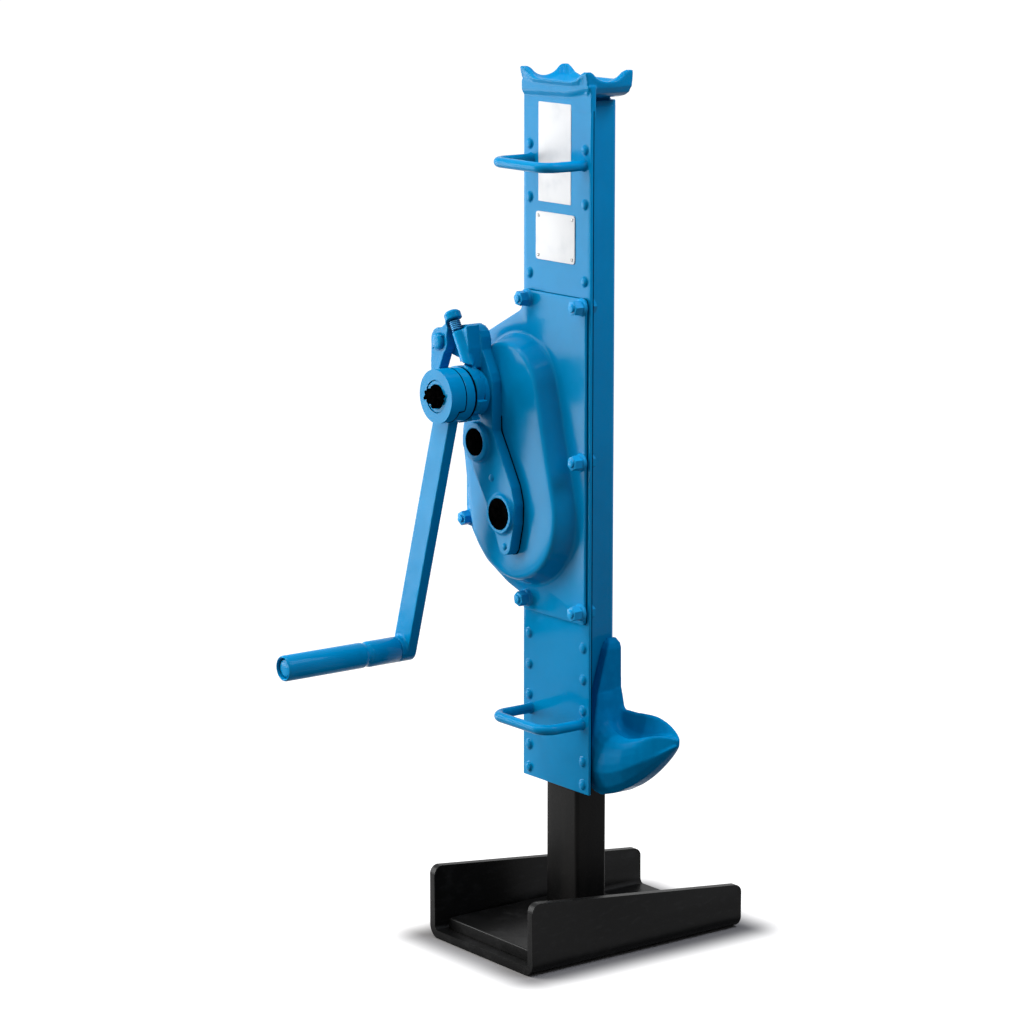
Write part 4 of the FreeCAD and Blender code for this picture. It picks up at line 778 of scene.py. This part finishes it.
def fasteners():
    """Nuts and bolts of the cover, and the rivets of the plate, the bracket and the label."""
    in_front = [(x, COVER_FACE, z) for x, z in BOLTS + CASE_BOLTS]
    behind = [(x, PLATE_FACE + 6, z) for x, z in BOLTS] + [(x, PLATE_FACE + 5, z) for x, z in CASE_BOLTS]
    # The cover's nuts and bolt ends are in the paler blue, a painted highlight.
    studs("nuts_on_cover", painted_nut, in_front, 50, "housing", enamel_painted_highlight,
          ("cover_nuts",))
    studs("bolt_ends", bolt_end, in_front, 0, "housing", enamel_painted_highlight, ("cover_bolts",))
    studs("bolt_heads", bolt_head, behind, 50, "housing", enamel, ("cover_bolts",))
    heights = (168, 191, 242.5, 273.4, 305, 663.5, 737, 788.5)
    rows = [(side * 43, PLATE_FACE, z) for side in (-1, 1) for z in heights]
    studs("plate_rivet_heads", rivet_head(4.7, 2.5), rows, 0, "housing", enamel,
          ("plate_rivets",), 50)
    studs("bracket_rivet_heads", rivet_head(3.0, 1.5, 0.3), [(-57, -62, 462.5), (-36, -62, 397.5)], 0,
          "housing", enamel, ("bracket_rivets",), 50)
    label_pins = [(x, PLATE_FACE - 0.7, z) for x in (-28.3, 24.2) for z in (682.4, 720.6)]
    studs("label_pins", rivet_head(1.3, 0.7), label_pins, 0, "housing", cut_steel,
          (), 50)


# Gear cover

DOME = [(-42.0, 433.0, 67.0), (-52.124, 544.199, 49.0), (-80.171, 495.210, 39.5)]


def dome_loop(grow, y):
    """Points round the three circles of the dome, all grown by the same amount."""
    points = []
    last = None
    for i in range(144):
        turn = math.radians(2.5 * i)
        out = Vector((math.cos(turn), math.sin(turn)))
        best = max(DOME, key=lambda c: c[0] * out.x + c[1] * out.y + c[2])
        if last and best is not last:
            points.append((last[0] + out.x * (last[2] + grow), last[1] + out.y * (last[2] + grow)))
        points.append((best[0] + out.x * (best[2] + grow), best[1] + out.y * (best[2] + grow)))
        last = best
    return [Vector((x, y, z)) * MM for x, z in points]


def filled(bm, loops):
    """A flat face between an outline and the holes in it."""
    edges = []
    for verts in loops:
        for a, b in zip(verts, verts[1:] + verts[:1]):
            edges.append(bm.edges.get((a, b)) or bm.edges.new((a, b)))
    bmesh.ops.triangle_fill(bm, use_beauty=True, use_dissolve=False, edges=edges)


def cover_outline():
    """The cover's flange, anticlockwise (x, z)."""
    return rounded([(-50, 329), (48.5, 329), (48.5, 647), (-52, 647), (-52, 627), (-115, 595),
                      (-138, 584), (-143, 577), (-143, 413), (-135, 397), (-123, 381), (-109, 368),
                      (-75, 351), (-50, 343)], 5)


def bracket_foot():
    """The lower part of the bracket's outline, where its foot meets the dome."""
    (cx, cz), (ix, iz), (mx, mz) = CRANK, MIDDLE, MAIN
    return [(ix - 6, iz - 30), (mx - 24, mz + 5), (mx - 15, mz - 12), (mx - 3, mz - 38),
            (mx + 3, mz - 41), (mx + 9, mz - 40), (mx + 13.5, mz - 35), (mx + 20, mz - 9),
            (mx + 21, mz + 11), (mx + 16, mz + 28), (mx - 3, mz + 60), (cx + 23.5, cz - 37),
            (cx + 23.3, cz - 20), (cx + 8, cz - 24)]


def painted_joint_shadows():
    """Painted shadow: black lines in the joints round the cover's flange and the bracket's foot, and down
    the plate's edges.
    """
    bm = bmesh.new()
    foot = inset(rounded(bracket_foot(), 5), -0.8)
    rings(bm, [[Vector((x, y, z)) * MM for x, z in foot] for y in (-50.0, -51.2)])
    around = inset(cover_outline(), -0.25)
    rings(bm, [[Vector((x, y, z)) * MM for x, z in around] for y in (PLATE_FACE + 0.3, PLATE_FACE - 0.7)])
    plate_foot, plate_top = 160, 826
    for left, right in ((-52.65, -50), (50, 52.65)):
        seam = (left, right, -23.4, -22.6)
        rings(bm, block((plate_foot, *seam), (plate_top, *seam)))
    finished("dark_joint_lines", bm, "housing", black_paint_and_shadow)


def gear_cover():
    """The pressed cover: a flat flange, a swept foot, sloping sides and a gently crowned face."""
    flange = cover_outline()
    bm = bmesh.new()

    def outline(amount, y):
        return placed(bm, [(x * MM, y * MM, z * MM) for x, z in inset(flange, amount)])

    rim = [outline(0.3, PLATE_FACE), outline(0, PLATE_FACE - 0.3), outline(0, COVER_FACE + 0.8),
           outline(0.25, COVER_FACE + 0.25), outline(0.8, COVER_FACE)]
    for before, after in zip(rim, rim[1:]):
        bridge(bm, before, after)
    outside = [(14, -29), (11.6, -29.2), (10, -30), (9, -31.6), (8.3, -34), (6.9, -37.5),
               (5.2, -42), (3.9, -45.6), (3.2, -47.4), (2.1, -48.8), (0.4, -49.7), (-2, -50.05),
               (-7, -50.2), (-14, DOME_FACE)]
    inside = [(6, -26), (5, -29), (-0.6, -43.5), (-2.4, -46.2), (-5, DOME_INSIDE)]
    skins = []
    for profile in (outside, inside):
        skin = [placed(bm, dome_loop(grow, y)) for grow, y in profile]
        for before, after in zip(skin, skin[1:]):
            bridge(bm, before, after)
        skins.append(skin)
    bores = ((CRANK, 12.7), (MIDDLE, 12.7), (MAIN, 14.7))
    front_holes = [placed(bm, circle(centre, radius, DOME_FACE, 32)) for centre, radius in bores]
    back_holes = [placed(bm, circle(centre, radius, DOME_INSIDE, 32)) for centre, radius in bores]
    filled(bm, [skins[0][-1]] + front_holes)
    filled(bm, [skins[1][-1]] + back_holes)
    front_screws = [placed(bm, circle(bolt, 4.2, COVER_FACE, 16)) for bolt in BOLTS + CASE_BOLTS]
    back_screws = [placed(bm, circle(bolt, 4.2, PLATE_FACE, 16)) for bolt in BOLTS + CASE_BOLTS]
    filled(bm, [rim[-1], skins[0][0]] + front_screws)
    filled(bm, [rim[0], skins[1][0]] + back_screws)
    for front, back in zip(front_holes + front_screws, back_holes + back_screws):
        bridge(bm, front, back)
    finished("cover_pressing", bm, "housing", enamel, ("gear_cover",), 30)


# Bracket, pawl and spring

def bracket_and_pawl():
    """Bracket, pawl, pivot with its split pin, and the spring."""
    softened("bracket_forging", "bearing_bracket", 1.0, 2, "housing", forged_enamel)
    softened("pawl_forging", "pawl", 0.8, 2, "pawl", forged_enamel)
    px, pz = PIVOT
    turned("pawl_pivot", PIVOT, [(0, -49), (6, -49), (6, -83), (8.4, -83), (8.6, -84), (8.2, -85.4),
                                 (6.8, -86.6), (4.5, -87.2), (0, -87.4)],
           "housing", enamel, ("pawl_pin",), 36)
    bm = bmesh.new()
    pin = [(px - 7.5, -84.4, pz - 7.5), (px + 7.5, -84.4, pz + 7.5)]
    tube(bm, pin, 0.9, 10)
    finished("pawl_split_pin", bm, "housing", enamel)
    return_spring()


def coil_tree():
    """A round coil standing on the origin along Z."""
    tree = new_tree("coil", Turns="Float", Radius="Float", Height="Float", Wire="Float",
                    Finish="Material")
    add = tree.nodes.new
    link = tree.links.new
    given = add("NodeGroupInput")
    helix = add("GeometryNodeCurveSpiral")
    helix.inputs["Resolution"].default_value = 28
    profile = add("GeometryNodeCurvePrimitiveCircle")
    profile.inputs["Resolution"].default_value = 10
    skin = add("GeometryNodeCurveToMesh")
    skin.inputs["Fill Caps"].default_value = True
    real = add("GeometryNodeRealizeInstances")
    painted = add("GeometryNodeSetMaterial")
    result = add("NodeGroupOutput")
    link(given.outputs["Turns"], helix.inputs["Rotations"])
    link(given.outputs["Radius"], helix.inputs["Start Radius"])
    link(given.outputs["Radius"], helix.inputs["End Radius"])
    link(given.outputs["Height"], helix.inputs["Height"])
    link(given.outputs["Wire"], profile.inputs["Radius"])
    link(helix.outputs["Curve"], skin.inputs["Curve"])
    link(profile.outputs["Curve"], skin.inputs["Profile Curve"])
    link(skin.outputs["Mesh"], real.inputs["Geometry"])
    link(real.outputs["Geometry"], painted.inputs["Geometry"])
    link(given.outputs["Finish"], painted.inputs["Material"])
    link(painted.outputs["Geometry"], result.inputs["Geometry"])
    return tree


def return_spring():
    """The coil between the bracket's bar and the pawl's cup, dull blue with worn paint."""
    seat = Vector((-91.024, -77.2, 603.999))
    lean = math.radians(120)
    along = Vector((math.cos(lean), 0, math.sin(lean)))
    piece = object_from("pawl_coil", bpy.data.meshes.new("pawl_coil"))
    grown(piece, coil_tree(), Turns=5.5, Radius=4.6 * MM, Height=10.6 * MM, Wire=0.95 * MM,
          Finish=spring_wire)
    turn = along.to_track_quat("Z", "Y").to_matrix().to_4x4()
    piece.data.transform(Matrix.Translation((seat + along * 1.1) * MM) @ turn)
    settle(piece, "housing", [spring_wire], ("pawl_spring",), sharp=None)
    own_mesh(piece)


# Crank

def crank():
    """Arm, nuts, ratchet wheel and the end of the shaft with its split pin and grip."""
    softened("crank_forging", "crank_arm", 0.95, 2, "crank", forged_enamel)
    broken_edges("clamp_nut", "brake_nut", 0.5, "crank", [enamel], shortest=1.5)
    broken_edges("crown_nut", "castle_nut", 0.4, "crank", [black_paint_and_shadow], shortest=1.5)
    broken_edges("ratchet_disc", "ratchet_wheel", 0.4, "ratchet", [enamel])
    turned("shaft_tip", CRANK, [(0, -106), (7.1, -106), (7.1, -118.8), (6, -119.6), (0, -119.7)],
           "crank", black_paint_and_shadow)
    bm = bmesh.new()
    lathe_ring(bm, CRANK, [(11.9, -104), (15.9, -104), (15.9, -111.6), (15.4, -112.1), (12.3, -112.1),
                           (11.9, -111.7)])
    finished("recess_washer", bm, "crank", enamel)
    hub_gap_shadows()
    split_pin()
    crank_grip()


def hub_gap_shadows():
    """Painted shadow: black lines in the gaps behind the hub, and between the hub and the nut with its
    stepped dogs.
    """
    hub, front, step = 26.25, -101.5, -95.2
    dog_start, dog_end, slack = -179.4, -32.4, 3
    first, last = dog_end + slack, dog_start + 360 - slack
    turns = [(first + (last - first) * k / 40, step) for k in range(41)]
    turns += [(dog_start + (dog_end - dog_start) * k / 30, front) for k in range(31)]
    turns.append(turns[0])
    path = [(CRANK[0] + hub * math.cos(math.radians(turn)), y,
             CRANK[1] + hub * math.sin(math.radians(turn))) for turn, y in turns]
    bm = bmesh.new()
    tube(bm, path, 0.65, 8)
    lathe(bm, CRANK, [(0, -82.2), (26.2, -82.2), (26.2, -84.2), (0, -84.2)], 48)
    finished("hub_gap_lines", bm, "crank", black_paint_and_shadow)


def split_pin():
    """The split pin through the castle nut, its two legs bent apart."""
    x, z = CRANK
    legs = ([(x - 16, -114.4, z - 3.8), (x - 13.5, -115.6, z - 1.4), (x - 9.5, -116.1, z),
             (x + 9.5, -116.1, z), (x + 13.2, -115.4, z + 0.8), (x + 16, -114.2, z + 3)],
            [(x - 15.5, -113.8, z + 3.2), (x - 12.6, -115.2, z + 1.2), (x - 9.5, -114.6, z - 0.3),
             (x + 9.5, -114.6, z - 0.3), (x + 14, -114.2, z - 2.6)])
    bm = bmesh.new()
    for leg in legs:
        tube(bm, leg, 1.5, 10)
    finished("crank_split_pin", bm, "crank", black_paint_and_shadow)


def crank_grip():
    """A tube with a neck near the arm, open in front where the pin's end shows."""
    back, front = -107.2, -242.2
    sleeve = [(9.05, back), (12.2, back), (13, back - 0.8), (13, back - 34), (12.7, back - 35.4),
              (11.7, back - 37), (11.5, back - 38.5), (11.8, back - 40), (12.6, back - 41.6),
              (12.9, back - 43), (12.9, front + 2), (12.4, front + 0.5), (11.5, front),
              (10.6, front + 0.5), (10.3, front + 1.4), (10.3, front + 7), (9.05, front + 7)]
    bm = bmesh.new()
    lathe_ring(bm, GRIP, sleeve)
    finished("grip_sleeve", bm, "grip", enamel, ("crank_grip",), 50)
    pin = [(0, front + 2.3), (7, front + 2.3), (8.4, front + 2.7), (9.2, front + 3.6),
           (9.4, front + 6.7), (8.97, front + 6.7), (8.97, back), (8, back), (8, -90), (9, -90),
           (9, -88.4), (8.2, -88), (0, -88)]
    turned("grip_rod", GRIP, pin, "crank", enamel, ("grip_pin",), 40)


# Head and claw

def horned_loop(half_x, front, back, middle, horn):
    """A rectangle round the load head, its edges sagging from the four corners."""
    corners = [Vector(corner) for corner in ((-half_x, front), (half_x, front), (half_x, back),
                                             (-half_x, back))]
    points = []
    for start, end in zip(corners, corners[1:] + corners[:1]):
        for k in range(16):
            t = 0.5 - 0.5 * math.cos(math.pi * k / 16)
            far = min(t, 1 - t) * (end - start).length
            lift = curve(far, (0, 1), (6, 1), (8.5, 0.76), (12, 0.43), (16.5, 0.18), (21, 0.06), (26, 0))
            x, y = start.lerp(end, t)
            points.append(Vector((x, y, middle + (horn - middle) * lift)) * MM)
    return points


def apron_section(x):
    """The head's front skirt: flush with the plate below, flared above a crease."""
    crease = curve(x, (-52.4, 835.5), (20, 837.5), (40, 841), (52.4, 844.5))
    return [Vector((x, y, z)) * MM for y, z in (
        (-25.6, 819), (-26.15, 825), (-26.1, crease - 2), (-26.5, crease), (-28.2, crease + 2.4),
        (-29.2, min(848, crease + 5)), (-29.4, 849), (-27, 849.6), (-20, 849), (-20, 819))]


def load_head():
    """A dished bowl with four horns, a skirt in front of the plate and a neck in the tube."""
    bowl = [horned_loop(*values) for values in (
        (35, -24, 22, 836.4, 836.4), (42, -25.5, 23.5, 838.2, 838.2), (47.6, -27, 24, 841.5, 841.5),
        (51, -28.8, 24.5, 847, 848), (51.9, -31.6, 25, 851, 860), (51.5, -31.4, 24.6, 852.6, 862.6),
        (48, -28.5, 21, 852.4, 862.4), (43, -24, 16, 849, 853), (34, -16, 9, 846.5, 848),
        (18, -8, 2, 845.5, 845.8))]
    apron = [apron_section(-52.4 + 104.8 * k / 20) for k in range(21)]
    sides = rounded([(-28, -24), (28, -24), (28, 25.3), (-28, 25.3)], 6)
    neck = [[Vector((x, y, z)) * MM for x, y in sides] for z in (823, 833)]
    stalk = block((832, -22, 22, -24, 21), (841, -22, 22, -24, 21))
    forged("head_forging", "head_saddle", 0.9, 4, forged_enamel, bowl, apron, neck, stalk)


def toe_section(x):
    """The claw's toe cut across X: a round belly and front, and a hollow between crest and rim."""
    sole = curve(x, (27.5, 168), (33, 161.5), (39, 158), (50, 156.5), (70, 162.5), (90, 173),
                 (108, 186), (126, 202.5), (137, 213.5), (146, 223))
    crest = curve(x, (27.5, 258), (39.5, 257), (41.5, 251), (44, 240), (48, 230), (54, 224.5),
                  (62, 221.5), (76, 220), (90, 221), (102, 224), (114, 228), (124, 230.5),
                  (136, 230.5), (146, 228.5))
    rim = curve(x, (27.5, 260), (39.5, 259), (41.5, 252), (43.5, 242), (47, 238), (66, 238.5), (84, 240.3),
                (100, 240.5), (112, 238.5), (124, 236), (136, 232.5), (146, 229.5))
    front = curve(x, (27.5, -21.2), (46, -21.2), (66, -19.6), (88, -16), (106, -11), (122, -5), (134, 0.5),
                  (141, 4), (146, 8))
    back = curve(x, (27.5, 26), (95, 26), (108, 24.8), (120, 22.6), (132, 19), (141, 15), (146, 11))
    wide = (back - front) / 47.2
    ease = curve(x, (27.5, 1), (56, 1), (84, 0.62), (112, 0.4), (146, 0.35))
    high = crest - sole
    wall = rim - crest
    dip = min(6.0, wall * 0.45)
    points = [(front + 13 * wide, sole), (back - 14 * wide, sole), (back - 5 * wide, sole + 0.1 * high),
              (back - 1.2 * wide, sole + 0.28 * high), (back, sole + 0.5 * high), (back, rim - 6 * wide),
              (back - 0.8 * wide, rim - 1), (back - 3.2 * wide, rim), (back - 5.6 * wide, rim - 0.1 * wall),
              (back - 7.4 * wide, crest + 0.5 * wall), (back - 9.4 * wide, crest + 0.1 * wall - 0.3 * dip),
              (back - 13 * wide, crest - 0.8 * dip), (back - 17 * wide, crest - dip)]
    for roll, drop in ((22, 0), (16, 0.03), (11, 0.09), (6.6, 0.19), (3, 0.33), (0.8, 0.48), (0.2, 0.62)):
        z = crest - drop * high
        points.append((front + max(roll * wide * ease, (z - 198) * 0.29 * ease), z))
    points += [(front + 2 * wide, sole + 0.3 * high), (front + 6 * wide, sole + 0.12 * high)]
    return [Vector((x, y, z)) * MM for y, z in points]


def lifting_claw():
    """The forged toe and the spine that carries it up the tube's side."""
    places = (27.5, 33, 38, 40, 42, 44, 46, 48, 51, 55, 60, 66, 72, 80, 88, 96, 104, 112, 120, 127, 133,
              138, 142, 144.5)
    toe = [toe_section(x) for x in places]
    spine = block((198, 27.5, 39.3, -21, 26), (238, 27.5, 39.2, -9.6, 26), (298, 27.5, 38.8, 7.8, 25.6),
                  (303.5, 27.5, 37, 11, 25), (307, 27.5, 32, 15, 24))
    # The claw takes the darker blue, a painted shade.
    forged("claw_forging", "lifting_claw", 1.0, 7, claw_enamel_painted_shade, toe, spine)


# End caps, and the inner pieces that keep their CAD shape

def end_caps():
    """The closed black ends of the shafts in the bracket."""
    broken_edges("end_caps", "shaft_end_caps", 0.4, "housing", [black_paint_and_shadow])


def inner_finishes():
    """Materials for the CAD pieces that stay as they are."""
    for finish, names in ((cut_steel, ("middle_shaft", "middle_gear", "main_gear", "rack_pinion_shaft")),
                          (bronze, ("shaft_bushes", "pinion_backing_pad")),
                          # The linings are near black, painted shade for the gap they sit in.
                          (lining_dark_as_gap_shade, ("brake_linings",)),
                          (enamel, ("lower_rack_guide", "crank_shaft"))):
        for name in names:
            for place in nodes[name].material_slots:
                place.material = finish


stand_camera()
light_studio()
base_and_rack()
housing()
carry_handle("upper_handle", "upper_carry_handle", height=774)
carry_handle("lower_handle", "lower_carry_handle", height=228.5)
label_card("upper_label", -29, 21.5, 734.5, 830, corner=1.2, thick=0.35)
label_card("rating_card", -32.5, 28.4, 678.2, 724.8, corner=4, thick=0.8, stands_for=("rating_plate",))
fasteners()
gear_cover()
painted_joint_shadows()
bracket_and_pawl()
crank()
load_head()
lifting_claw()
end_caps()
inner_finishes()
